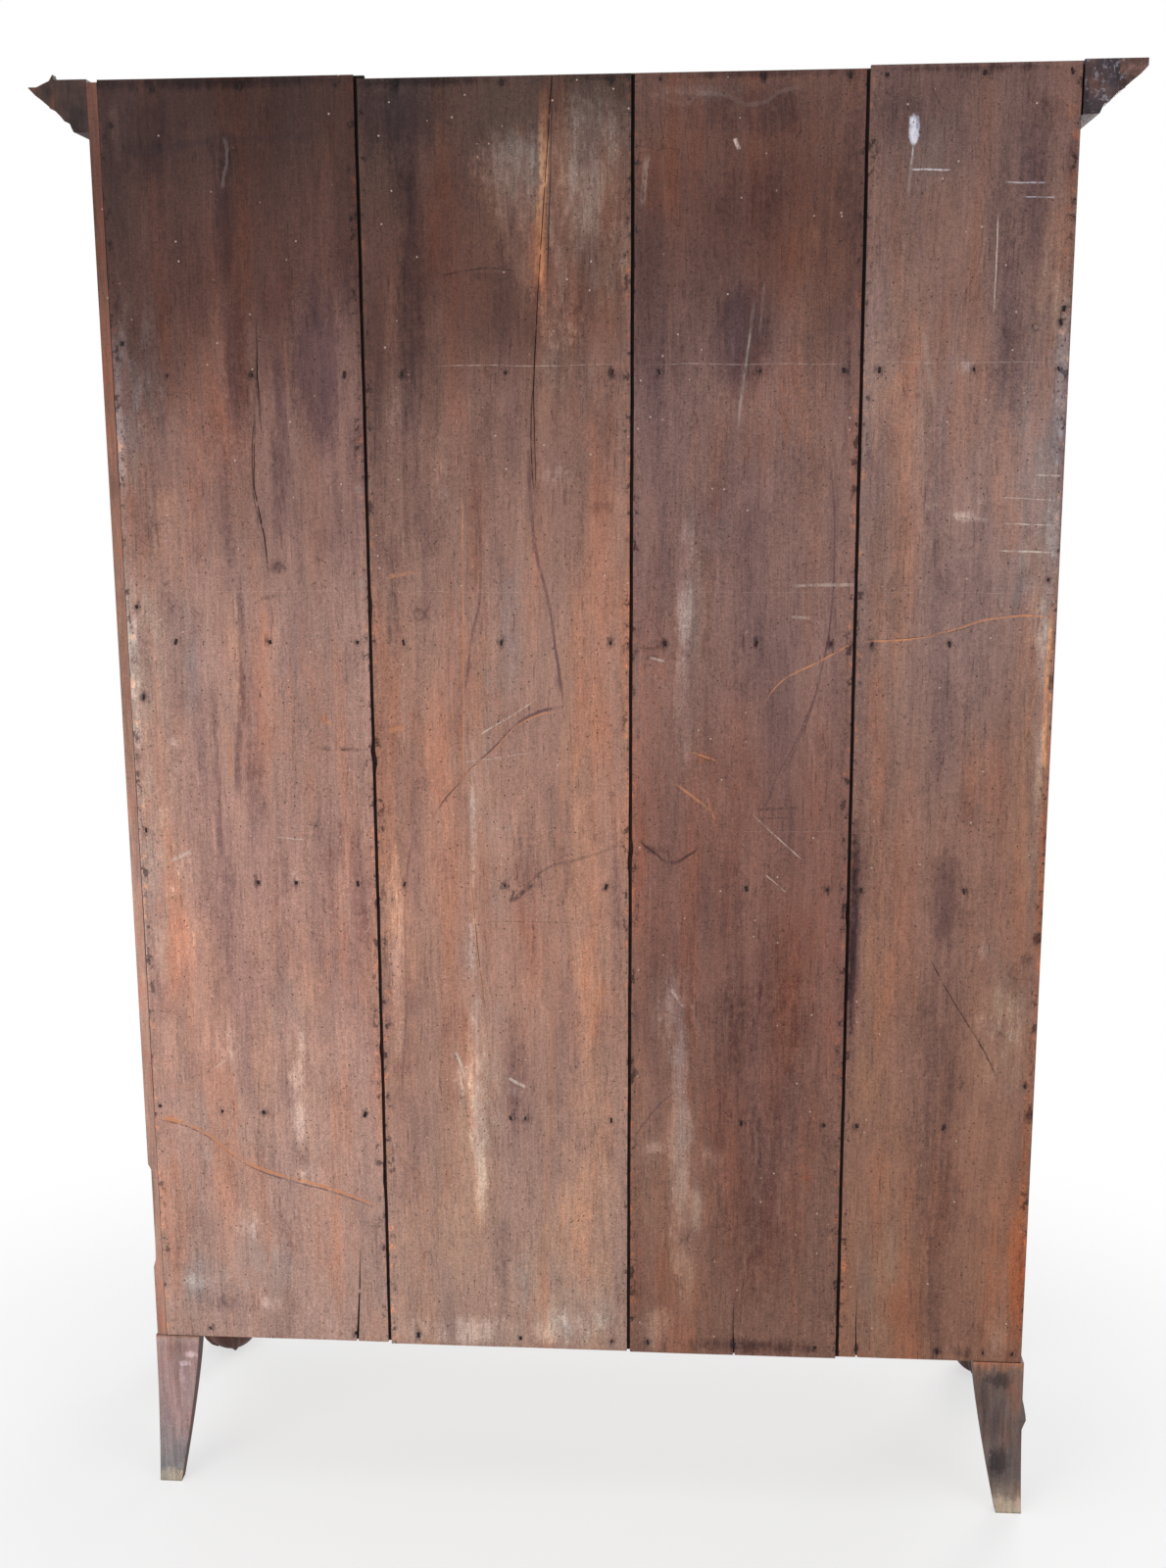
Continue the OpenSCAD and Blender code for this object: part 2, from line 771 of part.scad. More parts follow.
// The wedge that broke away from the crown's top corner, deepest at the back end and outside
module broken_corner() {
    crown_w = cornice_out - core_out;
    over = crown_edge_h;
    intersection() {
        bar_yz([side_x + core_out, side_x + cornice_out + over]) polygon([
            [face_y - break_l, top_z],
            [face_y - break_l, top_z + over],
            [face_y + over, top_z + over],
            [face_y + over, top_z - crown_edge_h],
            [face_y - break_l * 0.3, top_z - crown_edge_h * 0.8]
        ]);
        plate_xz([face_y - break_l - over, face_y + over]) polygon([
            [side_x + core_out + crown_w * 0.1, top_z + over],
            [side_x + core_out + crown_w * 0.1, top_z],
            [side_x + core_out + crown_w * 0.37, top_z - crown_edge_h * 0.4],
            [side_x + core_out + crown_w * 0.74, top_z - crown_edge_h],
            [side_x + cornice_out + over, top_z - crown_edge_h],
            [side_x + cornice_out + over, top_z + over]
        ]);
    }
}

// A splinter left standing beside the break
module splinter() {
    plate_xz([face_y - splinter_h * 2, face_y]) polygon([
        [side_x + core_out, top_z - splinter_h * 0.6],
        [side_x + core_out + splinter_h * 1.4, top_z - splinter_h * 0.6],
        [side_x + core_out + splinter_h * 0.9, top_z],
        [side_x + core_out + splinter_h * 0.25, top_z + splinter_h],
        [side_x + core_out, top_z]
    ]);
}

module cornice_crown_right() {
    color("sienna") union() {
        difference() {
            side_run(core_out, cornice_out, face_y, top_z, 4 * core_h) crown_section();
            broken_corner();
        }
        splinter();
    }
}

module base_section() {
    polygon([
        [0, 0],
        [base_out, 0],
        [base_out, base_h * 0.45],
        [base_out * 0.85, base_h * 0.65],
        [base_out * 0.5, base_h * 0.85],
        [base_out * 0.3, base_h],
        [0, base_h]
    ]);
}

module base_moulding_front() {
    color("sienna") front_run(0, base_out, leg_h, 4 * base_h) base_section();
}

module base_moulding(side) {
    color("sienna") on_side(side) side_run(0, base_out, post_front_y, leg_h, 4 * base_h) base_section();
}

// Back boards. Each board's edges drift a little, so they are given at the top and at the foot.

board_edge_top = [
    side_x - lip_w,
    side_x - lip_w - back_board_1_w,
    side_x - lip_w - back_board_1_w - back_board_2_w - board_gap,
    side_x - lip_w - back_board_1_w - back_board_2_w - back_board_3_w - 2 * board_gap
];
edge_drift = [0, 2, 6, -1];
board_top_drop = [1, 6, 6, 2];
board_foot_drop = [0, 2, 3, 0];
last_edge_in = 2;
last_edge_x = last_edge_in - side_x;
lap_t = back_board_t / 2;
lap_play = 0.5;
nail_play = 0.2;

// The plain outline of a board between two edges, given at the top and at the foot
module board_outline(number, first_top, first_foot, last_top, last_foot) {
    polygon([
        [first_foot, leg_h - board_foot_drop[number]],
        [first_top, top_z - board_top_drop[number]],
        [last_top, top_z - board_top_drop[number]],
        [last_foot, leg_h - board_foot_drop[number]]
    ]);
}

function board_first(number) = number == 0 ? board_edge_top[0] : board_edge_top[number] - board_gap;
function board_last(number) = number == 3 ? last_edge_x : board_edge_top[number + 1];

// Outer half as wide as it shows; inner half stepped aside by the lap at both edges
module back_board(number) {
    first = board_first(number);
    last = board_last(number);
    first_lap = number == 0 ? 0 : board_lap + lap_play;
    last_lap = number == 3 ? 0 : board_gap + board_lap;
    drift = edge_drift[number];
    next_drift = number == 3 ? 0 : edge_drift[number + 1];
    color("rosybrown") difference() {
        union() {
            plate_xz([board_y + lap_t, face_y])
                board_outline(number, first, first + drift, last, last + next_drift);
            plate_xz([board_y, board_y + lap_t])
                board_outline(number, first - first_lap, first + drift - first_lap,
                              last - last_lap, last + next_drift - last_lap);
        }
        nail_heads(nail_sunk + 1, nail_play);
    }
}

// Nails: each row's height, then the nails' places on each board as shares of its width
nail_rows = [
    [top_board_z + top_board_t * 0.45, [0.22, 0.56, 0.93], [0.14, 0.53, 0.93], [0.11, 0.56, 0.93], [0.08, 0.54, 0.95]],
    [shelf_zs[3], [0.22, 0.56, 0.93], [0.14, 0.53, 0.93], [0.11, 0.56, 0.93], [0.08, 0.54, 0.95]],
    [shelf_zs[2], [0.2, 0.59, 0.95], [0.12, 0.5, 0.92], [0.14, 0.56, 0.9], [0.08, 0.47]],
    [shelf_zs[1], [0.5, 0.66, 0.92], [0.1, 0.5, 0.9], [0.53, 0.91], [0.06, 0.59]],
    [shelf_zs[0], [0.3, 0.48, 0.92], [0.51, 0.57, 0.92], [0.52, 0.92], [0.07, 0.53]],
    [bottom_board_z + bottom_board_t * 0.5, [0.2, 0.85], [0.11, 0.54, 0.92], [0.07, 0.5, 0.9], [0.1, 0.54, 0.79, 0.95]]
];

// Single nails into the rear posts: distance from the side, height over the case's underside
right_post_nails = [[30, 1723], [29, 1445], [29, 1093], [32, 967], [25, 777], [23, 364]];
left_post_nails = [[12, 1478], [15, 1461], [16, 1131], [15, 422]];

module nail_head(x, z, tall, grow) {
    block([x - nail_w / 2 - grow, x + nail_w / 2 + grow], [face_y - nail_sunk - nail_t, face_y - nail_sunk - nail_t + tall],
          [z - nail_w / 2 - grow, z + nail_w / 2 + grow]);
}

// All nail heads, or with more height and width the holes that they lie in
module nail_heads(more, grow) {
    for (row = nail_rows) {
        for (number = [0:3]) {
            for (share = row[number + 1]) {
                nail_head(board_first(number) + (board_last(number) - board_first(number)) * share,
                          row[0], nail_t + more, grow);
            }
        }
    }
    for (nail = right_post_nails) nail_head(side_x - nail[0], leg_h + nail[1], nail_t + more, grow);
    for (nail = left_post_nails) nail_head(nail[0] - side_x, leg_h + nail[1], nail_t + more, grow);
}

module back_nails() {
    color("dimgray") nail_heads(0, 0);
}

// Hinges. Knuckles 1, 3 and 5 belong to the case, 2 and 4 to the door.

function knuckle_z(hinge_z, i) = hinge_z - hinge_h / 2 + i * (knuckle_h + knuckle_gap);

module knuckle(hinge_z, i, leaf_x) {
    z = knuckle_z(hinge_z, i);
    difference() {
        union() {
            translate([hinge_x, hinge_y, z]) cylinder(r = knuckle_r, h = knuckle_h);
            block(leaf_x, [hinge_y, front_y + 1], [z, z + knuckle_h]);
        }
        translate([hinge_x, hinge_y, z - 1]) cylinder(r = hinge_pin_r + hinge_pin_play, h = knuckle_h + 2);
    }
}

module leaf(hinge_z, leaf_x) {
    block(leaf_x, [front_y, front_y + leaf_w], [hinge_z - hinge_h / 2, hinge_z + hinge_h / 2]);
}

module case_hinge_leaves() {
    leaf_x = [front_x, front_x + leaf_t];
    color("goldenrod") for (side = [LEFT, RIGHT]) {
        on_side(side) for (z = hinge_zs) {
            leaf(z, leaf_x);
            for (i = [0, 2, 4]) knuckle(z, i, leaf_x);
        }
    }
}

module door_hinge_leaves(side) {
    leaf_x = [door_out_x - leaf_t, door_out_x];
    color("goldenrod") on_side(side) for (z = hinge_zs) {
        leaf(z, leaf_x);
        for (i = [1, 3]) knuckle(z, i, leaf_x);
    }
}

// A pin with a small turned button on the top knuckle and one under the lowest
pin_head_h = 4;

module hinge_pin(hinge_z) {
    translate([hinge_x, hinge_y, hinge_z - hinge_h / 2 - pin_head_h]) rotate_extrude() polygon([
        [0, 0], [hinge_pin_r, 0], [knuckle_r - 1, pin_head_h * 0.5], [knuckle_r - 1, pin_head_h],
        [hinge_pin_r, pin_head_h], [hinge_pin_r, pin_head_h + hinge_h],
        [knuckle_r - 1, pin_head_h + hinge_h], [knuckle_r - 1, pin_head_h * 1.5 + hinge_h],
        [hinge_pin_r, pin_head_h * 2 + hinge_h], [0, pin_head_h * 2 + hinge_h]
    ]);
}

module hinge_pins() {
    color("goldenrod") for (side = [LEFT, RIGHT]) {
        on_side(side) for (z = hinge_zs) hinge_pin(z);
    }
}

// Doors, drawn for the right one

module door_pane(grow) {
    block([door_open_x[0] - groove_d - grow, door_open_x[1] + groove_d + grow],
          [door_glass_y, door_glass_y + glass_t],
          [door_light_z[0] - groove_d - grow, door_light_z[1] + groove_d + grow]);
}

module door_panel_edge(grow) {
    block([door_open_x[0] - groove_d - grow, door_open_x[1] + groove_d + grow],
          [door_panel_y, door_panel_y + panel_edge_t],
          [door_panel_z[0] - groove_d - grow, door_panel_z[1] + groove_d + grow]);
}

module door_stiles_plain() {
    difference() {
        union() {
            block([door_in_x, door_open_x[0]], [front_y, door_back_y], door_z);
            block([door_open_x[1], door_out_x], [front_y, door_back_y], door_z);
        }
        door_pane(groove_play);
        door_panel_edge(groove_play);
        for (z = hinge_zs) {
            block([door_out_x - leaf_t, door_out_x + 1], [front_y - 1, front_y + leaf_w],
                  [z - hinge_h / 2, z + hinge_h / 2]);
        }
    }
}

module left_door_stiles() {
    color("saddlebrown") on_side(LEFT) door_stiles_plain();
}

module right_door_stiles() {
    color("saddlebrown") difference() {
        door_stiles_plain();
        keyhole([front_y - 1, door_back_y + 1]);
    }
}

module door_rails(side) {
    color("saddlebrown") on_side(side) difference() {
        for (z = [[door_z[0], door_panel_z[0]], mid_z, [door_light_z[1], door_z[1]]]) {
            block(door_open_x, [front_y, door_back_y], z);
        }
        door_pane(groove_play);
        door_panel_edge(groove_play);
    }
}

module door_glass(side) {
    color("lightblue", 0.4) on_side(side) door_pane(0);
}

module door_glazing_bars(side) {
    color("saddlebrown") on_side(side)
        glazing_bars(door_open_x, door_light_z, door_glass_y, door_glass_y - front_y - bar_reveal);
}

module door_panel(side) {
    w = door_open_x[1] - door_open_x[0];
    h = door_panel_z[1] - door_panel_z[0];
    color("saddlebrown") on_side(side) union() {
        door_panel_edge(0);
        translate([(door_open_x[0] + door_open_x[1]) / 2, door_panel_y, (door_panel_z[0] + door_panel_z[1]) / 2])
            rotate([90, 0, 0]) raised_field(w, h, panel_field_t - panel_edge_t);
    }
}

// Lock on the right door

// A round hole with a slot below it for the key's bit
module keyhole(y) {
    translate([key_x, y[1], key_z]) rotate([90, 0, 0]) cylinder(r = key_r + slide_play, h = y[1] - y[0]);
    block([key_x - key_bit_t / 2 - slide_play, key_x + key_bit_t / 2 + slide_play], y,
          [key_z - key_bit_r - slide_play, key_z]);
}

module right_door_lock_case() {
    color("goldenrod") difference() {
        block([lock_x, lock_x + lock_w], [door_back_y, door_back_y + lock_d], [lock_z, lock_z + lock_h]);
        block([lock_x + lock_wall, lock_x + lock_w - lock_wall],
              [door_back_y + lock_wall, door_back_y + lock_d - lock_wall],
              [lock_z + lock_wall, lock_z + lock_h - lock_wall]);
        block([lock_x - 1, lock_x + lock_wall + 1],
              [lock_bolt_y - slide_play, lock_bolt_y + lock_bolt_t + slide_play],
              [lock_bolt_z - slide_play, lock_bolt_z + lock_bolt_h + slide_play]);
        keyhole([door_back_y - 1, door_back_y + lock_wall + 1]);
    }
}

module lock_bolt() {
    color("darkgoldenrod") block([lock_x, lock_x + lock_w - lock_throw],
                                 [lock_bolt_y, lock_bolt_y + lock_bolt_t],
                                 [lock_bolt_z, lock_bolt_z + lock_bolt_h]);
}

escutcheon_t = 2;
escutcheon_r = 10;
escutcheon_h = 18;
escutcheon_low = 2;

module escutcheon() {
    color("gold") difference() {
        union() {
            for (z = [key_z - escutcheon_low - escutcheon_h / 2, key_z - escutcheon_low + escutcheon_h / 2]) {
                translate([key_x, front_y, z]) rotate([90, 0, 0]) cylinder(r = escutcheon_r, h = escutcheon_t);
            }
            block([key_x - escutcheon_r, key_x + escutcheon_r], [front_y - escutcheon_t, front_y],
                  [key_z - escutcheon_low - escutcheon_h / 2, key_z - escutcheon_low + escutcheon_h / 2]);
        }
        keyhole([front_y - escutcheon_t - 1, front_y + 1]);
    }
}

// The key stands in the keyhole with its bit down, inside the lock case
key_end_gap = 1.5;
key_end_y = door_back_y + lock_d - lock_wall - key_end_gap;
key_bit_l = 7;
key_bit_in = 1;
key_collar_r = 5;
key_collar_t = 3;
key_collar_out = 6;
key_collar_y = front_y - escutcheon_t - key_collar_out;
key_neck = 5;
key_bow_y = key_collar_y - key_neck - key_bow_r;
key_bow_wire = 2.2;

module key() {
    color("dimgray") union() {
        translate([key_x, key_end_y, key_z]) rotate([90, 0, 0])
            cylinder(r = key_r, h = key_end_y - key_bow_y - key_bow_r);
        translate([key_x, key_collar_y, key_z]) rotate([90, 0, 0]) cylinder(r = key_collar_r, h = key_collar_t);
        block([key_x - key_bit_t / 2, key_x + key_bit_t / 2], [key_end_y - key_bit_in - key_bit_l, key_end_y - key_bit_in],
              [key_z - key_bit_r, key_z]);
        translate([key_x, key_bow_y, key_z]) rotate([0, 90, 0])
            rotate_extrude() translate([key_bow_r, 0]) circle(key_bow_wire);
    }
}

// Bolts on the left door, drawn for the right side and mirrored. From the end of the door
// inward: the outer guide, the knob and the inner guide.

module guide(z) {
    block([door_bolt_x - bolt_guide_w / 2, door_bolt_x + bolt_guide_w / 2],
          [door_back_y, door_bolt_y + bolt_r + bolt_guide_wall], [z, z + bolt_guide_h]);
}

module bolt_bore(z, h) {
    translate([door_bolt_x, door_bolt_y, z]) cylinder(r = bolt_r + slide_play, h = h);
}

module strike() {
    difference() {
        block([door_in_x + strike_in, lock_x + strike_w], [door_back_y, door_back_y + lock_d],
              [lock_bolt_z - strike_wall, lock_bolt_z + lock_bolt_h + strike_wall]);
        block([0, lock_x + strike_w - strike_wall / 2],
              [lock_bolt_y - strike_play, lock_bolt_y + lock_bolt_t + strike_play],
              [lock_bolt_z - strike_play, lock_bolt_z + lock_bolt_h + strike_play]);
    }
}

module left_door_bolt_guides() {
    color("goldenrod") on_side(LEFT) union() {
        difference() {
            for (z = [door_z[0] + bolt_front_in, door_z[0] + bolt_back_in,
                      door_z[1] - bolt_front_in - bolt_guide_h, door_z[1] - bolt_back_in - bolt_guide_h]) {
                guide(z);
            }
            bolt_bore(door_z[0] - bore_over, bolt_l + 2 * bore_over);
            bolt_bore(door_z[1] - bolt_l - bore_over, bolt_l + 2 * bore_over);
        }
        strike();
    }
}

module door_bolt(z, knob_z) {
    translate([door_bolt_x, door_bolt_y, z]) cylinder(r = bolt_r, h = bolt_l);
    translate([door_bolt_x, door_bolt_y, knob_z]) rotate([-90, 0, 0]) cylinder(r = bolt_knob_r, h = bolt_knob_l);
}

module top_bolt() {
    color("dimgray") on_side(LEFT) door_bolt(door_z[1] - bolt_end_in - bolt_l, door_z[1] - bolt_knob_in);
}

module bottom_bolt() {
    color("dimgray") on_side(LEFT) door_bolt(door_z[0] + bolt_end_in, door_z[0] + bolt_knob_in);
}

module keeper(z) {
    hole_r = bolt_r + keeper_play;
    difference() {
        block([door_bolt_x - keeper_w / 2, door_bolt_x + keeper_w / 2],
              [rail_back_y, door_bolt_y + hole_r + keeper_wall], [z, z + keeper_t]);
        block([door_bolt_x - hole_r, door_bolt_x + hole_r], [door_bolt_y - hole_r, door_bolt_y + hole_r],
              [z - keeper_t, z + 2 * keeper_t]);
    }
}

module bolt_keepers() {
    color("goldenrod") on_side(LEFT) {
        keeper(frieze_z + keeper_gap);
        keeper(leg_h + bottom_rail_up - keeper_low_gap - keeper_t);
    }
}

rear_post_left();
rear_post_right();
front_post(LEFT);  // front_post_left
front_post(RIGHT);  // front_post_right
front_leg(LEFT);  // front_leg_left
front_leg(RIGHT);  // front_leg_right
side_rails(LEFT);  // left_side_rails
side_rails(RIGHT);  // right_side_rails
side_panel(LEFT);  // left_side_panel
side_panel(RIGHT);  // right_side_panel
side_glass(LEFT);  // left_side_glass
side_glass(RIGHT);  // right_side_glass
side_glazing_bars(LEFT);  // left_side_glazing_bars
side_glazing_bars(RIGHT);  // right_side_glazing_bars
top_board();
bottom_board();
shelf(1);  // shelf_1
shelf(2);  // shelf_2
shelf(3);  // shelf_3
shelf(4);  // shelf_4
shelf_cleats();
frieze_rail();
bottom_rail();
base_moulding_front();
base_moulding(LEFT);  // base_moulding_left
base_moulding(RIGHT);  // base_moulding_right
cornice_core_front();
cornice_core(LEFT);  // cornice_core_left
cornice_core(RIGHT);  // cornice_core_right
cornice_crown_front();
cornice_crown_left();
cornice_crown_right();
back_board(0);  // back_board_1
back_board(1);  // back_board_2
back_board(2);  // back_board_3
back_board(3);  // back_board_4
back_nails();
case_hinge_leaves();
hinge_pins();
bolt_keepers();
left_door_stiles();
door_rails(LEFT);  // left_door_rails
door_glazing_bars(LEFT);  // left_door_glazing_bars
door_glass(LEFT);  // left_door_glass
door_panel(LEFT);  // left_door_panel
door_hinge_leaves(LEFT);  // left_door_hinge_leaves
left_door_bolt_guides();
right_door_stiles();
door_rails(RIGHT);  // right_door_rails
door_glazing_bars(RIGHT);  // right_door_glazing_bars
door_glass(RIGHT);  // right_door_glass
door_panel(RIGHT);  // right_door_panel
door_hinge_leaves(RIGHT);  // right_door_hinge_leaves
right_door_lock_case();
escutcheon();
top_bolt();
bottom_bolt();
lock_bolt();
key();
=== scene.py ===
import math

import bpy
import numpy as np
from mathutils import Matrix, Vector


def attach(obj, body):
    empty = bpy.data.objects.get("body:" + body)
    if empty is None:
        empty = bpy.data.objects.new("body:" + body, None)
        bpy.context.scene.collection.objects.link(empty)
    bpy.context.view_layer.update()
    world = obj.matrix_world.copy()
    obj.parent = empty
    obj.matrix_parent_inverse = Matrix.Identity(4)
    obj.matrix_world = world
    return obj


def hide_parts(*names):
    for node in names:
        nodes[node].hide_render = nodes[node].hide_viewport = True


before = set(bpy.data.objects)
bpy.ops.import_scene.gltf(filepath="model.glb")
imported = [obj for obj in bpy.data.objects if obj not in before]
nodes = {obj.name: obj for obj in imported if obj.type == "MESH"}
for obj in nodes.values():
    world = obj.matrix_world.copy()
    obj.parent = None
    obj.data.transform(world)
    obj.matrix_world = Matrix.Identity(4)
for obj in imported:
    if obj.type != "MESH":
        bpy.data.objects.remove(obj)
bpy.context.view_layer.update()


# Camera. It stands behind the cabinet at a person's eye height, a little to the picture's
# right, and looks slightly down at the boarded back.
camera = bpy.data.objects.new("camera", bpy.data.cameras.new("camera"))
bpy.context.scene.collection.objects.link(camera)
camera.location = (-0.178, 2.5789, 1.5573)
camera.rotation_euler = (math.radians(78.7808), math.radians(0.2848), math.radians(-175.8372))
camera.data.sensor_fit = "AUTO"
camera.data.sensor_width = 36
camera.data.lens = 39.795
bpy.context.scene.camera = camera
bpy.context.scene.view_settings.view_transform = "Standard"


# Studio. A plain pale floor that keeps the cabinet's soft shadow, a white surround, and
# wide soft lamps on the picture's left, overhead and in front of the cabinet.
def node(tree, kind, inputs=None, **settings):
    made = tree.nodes.new("ShaderNode" + kind)
    for name, value in settings.items():
        setattr(made, name, value)
    for key, value in (inputs or {}).items():
        if isinstance(value, bpy.types.NodeSocket):
            tree.links.new(value, made.inputs[key])
        else:
            made.inputs[key].default_value = value
    return made


def calc(tree, operation, first, second=0.0):
    return node(tree, "Math", {0: first, 1: second}, operation=operation).outputs[0]


def times(tree, first, second):
    return calc(tree, "MULTIPLY", first, second)


def arrow(tree, operation, first, second=(0, 0, 0)):
    """Sums with vectors; a length and a dot product come back as a number."""
    made = node(tree, "VectorMath", {0: first, 1: second}, operation=operation)
    return made.outputs["Value" if operation in ("LENGTH", "DOT_PRODUCT") else "Vector"]


def fade(tree, value, start, end, low=0.0, high=1.0, smooth=True):
    """Goes from low to high while the value goes from start to end."""
    limits = {"Value": value, "From Min": start, "From Max": end, "To Min": low, "To Max": high}
    return node(tree, "MapRange", limits, interpolation_type="SMOOTHSTEP" if smooth else "LINEAR").outputs[0]


def where(tree):
    return node(tree, "TexCoord").outputs["Object"]


def in_view(tree):
    """1 for what the camera sees, also through glass, and 0 for what only lights the cabinet."""
    path = node(tree, "LightPath").outputs
    return calc(tree, "MAXIMUM", path["Is Camera Ray"], path["Is Transmission Ray"])


def new_finish(name):
    finish = bpy.data.materials.new(name)
    finish.use_nodes = True
    finish.node_tree.nodes.clear()
    return finish, finish.node_tree


world = bpy.data.worlds.new("studio")
bpy.context.scene.world = world
world.use_nodes = True
world.node_tree.nodes.clear()
sky = world.node_tree
room = node(sky, "Background", {"Color": (0.93, 0.95, 1.0, 1), "Strength": 0.42}).outputs[0]
white = node(sky, "Background", {"Color": (1, 1, 1, 1), "Strength": 1.0}).outputs[0]
shown = node(sky, "MixShader", {0: in_view(sky), 1: room, 2: white}).outputs[0]
node(sky, "OutputWorld", {"Surface": shown})

bpy.ops.object.select_all(action="DESELECT")
bpy.ops.mesh.primitive_plane_add(size=60, location=(0, 0, 0))
floor = bpy.context.object
floor.name = "floor"
floor_finish, tree = new_finish("pale_floor")
matt = node(tree, "BsdfDiffuse", {"Color": (0.86, 0.86, 0.86, 1)}).outputs[0]
glow = node(tree, "Emission", {"Color": (1, 1, 1, 1), "Strength": 1.0}).outputs[0]
from_middle = where(tree)
away = arrow(tree, "LENGTH", arrow(tree, "MULTIPLY", from_middle, (1.0, 1.3, 1.0)))
seen = times(tree, in_view(tree), fade(tree, away, 0.7, 1.7, 0.62, 1.0))
node(tree, "OutputMaterial", {"Surface": node(tree, "MixShader", {0: seen, 1: matt, 2: glow}).outputs[0]})
floor.data.materials.append(floor_finish)


def soft_lamp(name, place, towards, size, power, colour):
    lamp = bpy.data.objects.new(name, bpy.data.lights.new(name, "AREA"))
    bpy.context.scene.collection.objects.link(lamp)
    lamp.location = place
    lamp.rotation_euler = (Vector(towards) - Vector(place)).to_track_quat("-Z", "Y").to_euler()
    lamp.data.shape = "SQUARE"
    lamp.data.size = size
    lamp.data.energy = power
    lamp.data.color = colour


soft_lamp("lamp_behind_left", (2.6, 4.2, 1.7), (0, 0, 0.9), 2.6, 108, (1.0, 0.98, 0.95))
soft_lamp("lamp_behind_right", (-3.4, 3.6, 2.4), (0, 0, 0.9), 2.4, 44, (1.0, 0.98, 0.96))
soft_lamp("lamp_overhead", (0.3, 0.4, 4.6), (0, 0, 0.8), 3.0, 60, (1.0, 0.99, 0.97))
soft_lamp("lamp_front", (-2.4, -4.4, 2.6), (0, 0, 0.9), 2.8, 150, (1.0, 0.98, 0.95))


# Rear posts. Each is one long piece of stained hardwood with its flat tapered leg; the
# sides were polished once, the back was left bare and is dull, scuffed and damp-stained.
def paint(red, green, blue):
    """A colour given as the eye sees it, 0 to 255, turned into light."""
    part = [value / 255 for value in (red, green, blue)]
    light = [value / 12.92 if value < 0.04045 else ((value + 0.055) / 1.055) ** 2.4 for value in part]
    return (*light, 1.0)


def plus(tree, first, second):
    return calc(tree, "ADD", first, second)


def minus(tree, first, second):
    return calc(tree, "SUBTRACT", first, second)


def noise(tree, point, scale, stretch=(1, 1, 1), detail=3.0, seed=0.0, roughness=0.5):
    place = {"Vector": point, "Scale": stretch, "Location": (seed, seed * 1.7, seed * 0.6)}
    cloud = {"Vector": node(tree, "Mapping", place).outputs[0], "Scale": scale, "Detail": detail,
             "Roughness": roughness}
    return node(tree, "TexNoise", cloud).outputs["Fac"]


def blend(tree, amount, under, over, kind="MIX"):
    mixed = node(tree, "Mix", data_type="RGBA", blend_type=kind)
    for socket, value in ((mixed.inputs[0], amount), (mixed.inputs[6], under), (mixed.inputs[7], over)):
        if isinstance(value, bpy.types.NodeSocket):
            tree.links.new(value, socket)
        else:
            socket.default_value = value
    return mixed.outputs[2]


def wash(tree, amount, under, tint):
    """A thin wash of a tint over what is there."""
    return blend(tree, amount, under, (*tint, 1), "MULTIPLY")


def lighten(tree, colour, amount):
    return node(tree, "VectorMath", {0: colour, "Scale": amount}, operation="SCALE").outputs[0]


def tones(tree, value, stops):
    """A colour for each value, eased from one given tone to the next."""
    ramp = node(tree, "ValToRGB", {"Fac": value})
    ramp.color_ramp.interpolation = "EASE"
    while len(ramp.color_ramp.elements) < len(stops):
        ramp.color_ramp.elements.new(0.5)
    for element, (position, tone) in zip(ramp.color_ramp.elements, sorted(stops)):
        element.position = position
        element.color = paint(*tone)
    return ramp.outputs[0]


def drift(tree, point, seed, reach=0.04):
    """The grain's own coordinates: it wanders a little to the side as it rises."""
    sway = minus(tree, noise(tree, point, 2.4, (1, 1, 0.6), 2, seed), 0.5)
    aside = node(tree, "CombineXYZ", {"X": times(tree, sway, reach)}).outputs[0]
    return arrow(tree, "ADD", point, aside)


def grain_light(tree, grain, seed, layers):
    """How light the wood is, from broad bands of growth down to single fibres, about 1."""
    total = 1.0 - 0.5 * sum(amount for _, _, amount in layers)
    for step, (scale, rise, amount) in enumerate(layers):
        layer = noise(tree, grain, scale, (1, 0.8, rise), 3, seed + step, 0.58)
        total = plus(tree, times(tree, layer, amount), total)
    return total


def lay_out(tree):
    """Millimetres across, as seen from behind, and up, with noises that make edges ragged."""
    point = where(tree)
    parts = node(tree, "SeparateXYZ", {0: point}).outputs
    across = times(tree, parts["X"], -1000.0)
    up = times(tree, parts["Z"], 1000.0)
    flat = node(tree, "CombineXYZ", {"X": across, "Y": up}).outputs[0]
    fibres = minus(tree, noise(tree, point, 95, (1, 1, 0.09), 4, roughness=0.65), 0.5)
    specks = minus(tree, noise(tree, point, 150, (1, 1, 0.7), 4, 5, 0.7), 0.5)
    ragged = plus(tree, times(tree, fibres, 1.2), times(tree, specks, 1.1))
    waver = minus(tree, noise(tree, point, 14, (1, 1, 0.6), 3, seed=3), 0.5)
    return {"point": point, "across": across, "up": up, "flat": flat, "ragged": ragged, "waver": waver,
            "specks": specks}


def spot(tree, place, across, up, half_w, half_h, strength):
    """A soft stain round one place, torn at its edge."""
    moved = arrow(tree, "SUBTRACT", place["flat"], (across, up, 0))
    reach = arrow(tree, "LENGTH", arrow(tree, "MULTIPLY", moved, (1 / half_w, 1 / half_h, 0)))
    torn = plus(tree, reach, times(tree, place["ragged"], -1.6))
    return fade(tree, torn, 1.35, 0.45, 0.0, strength)


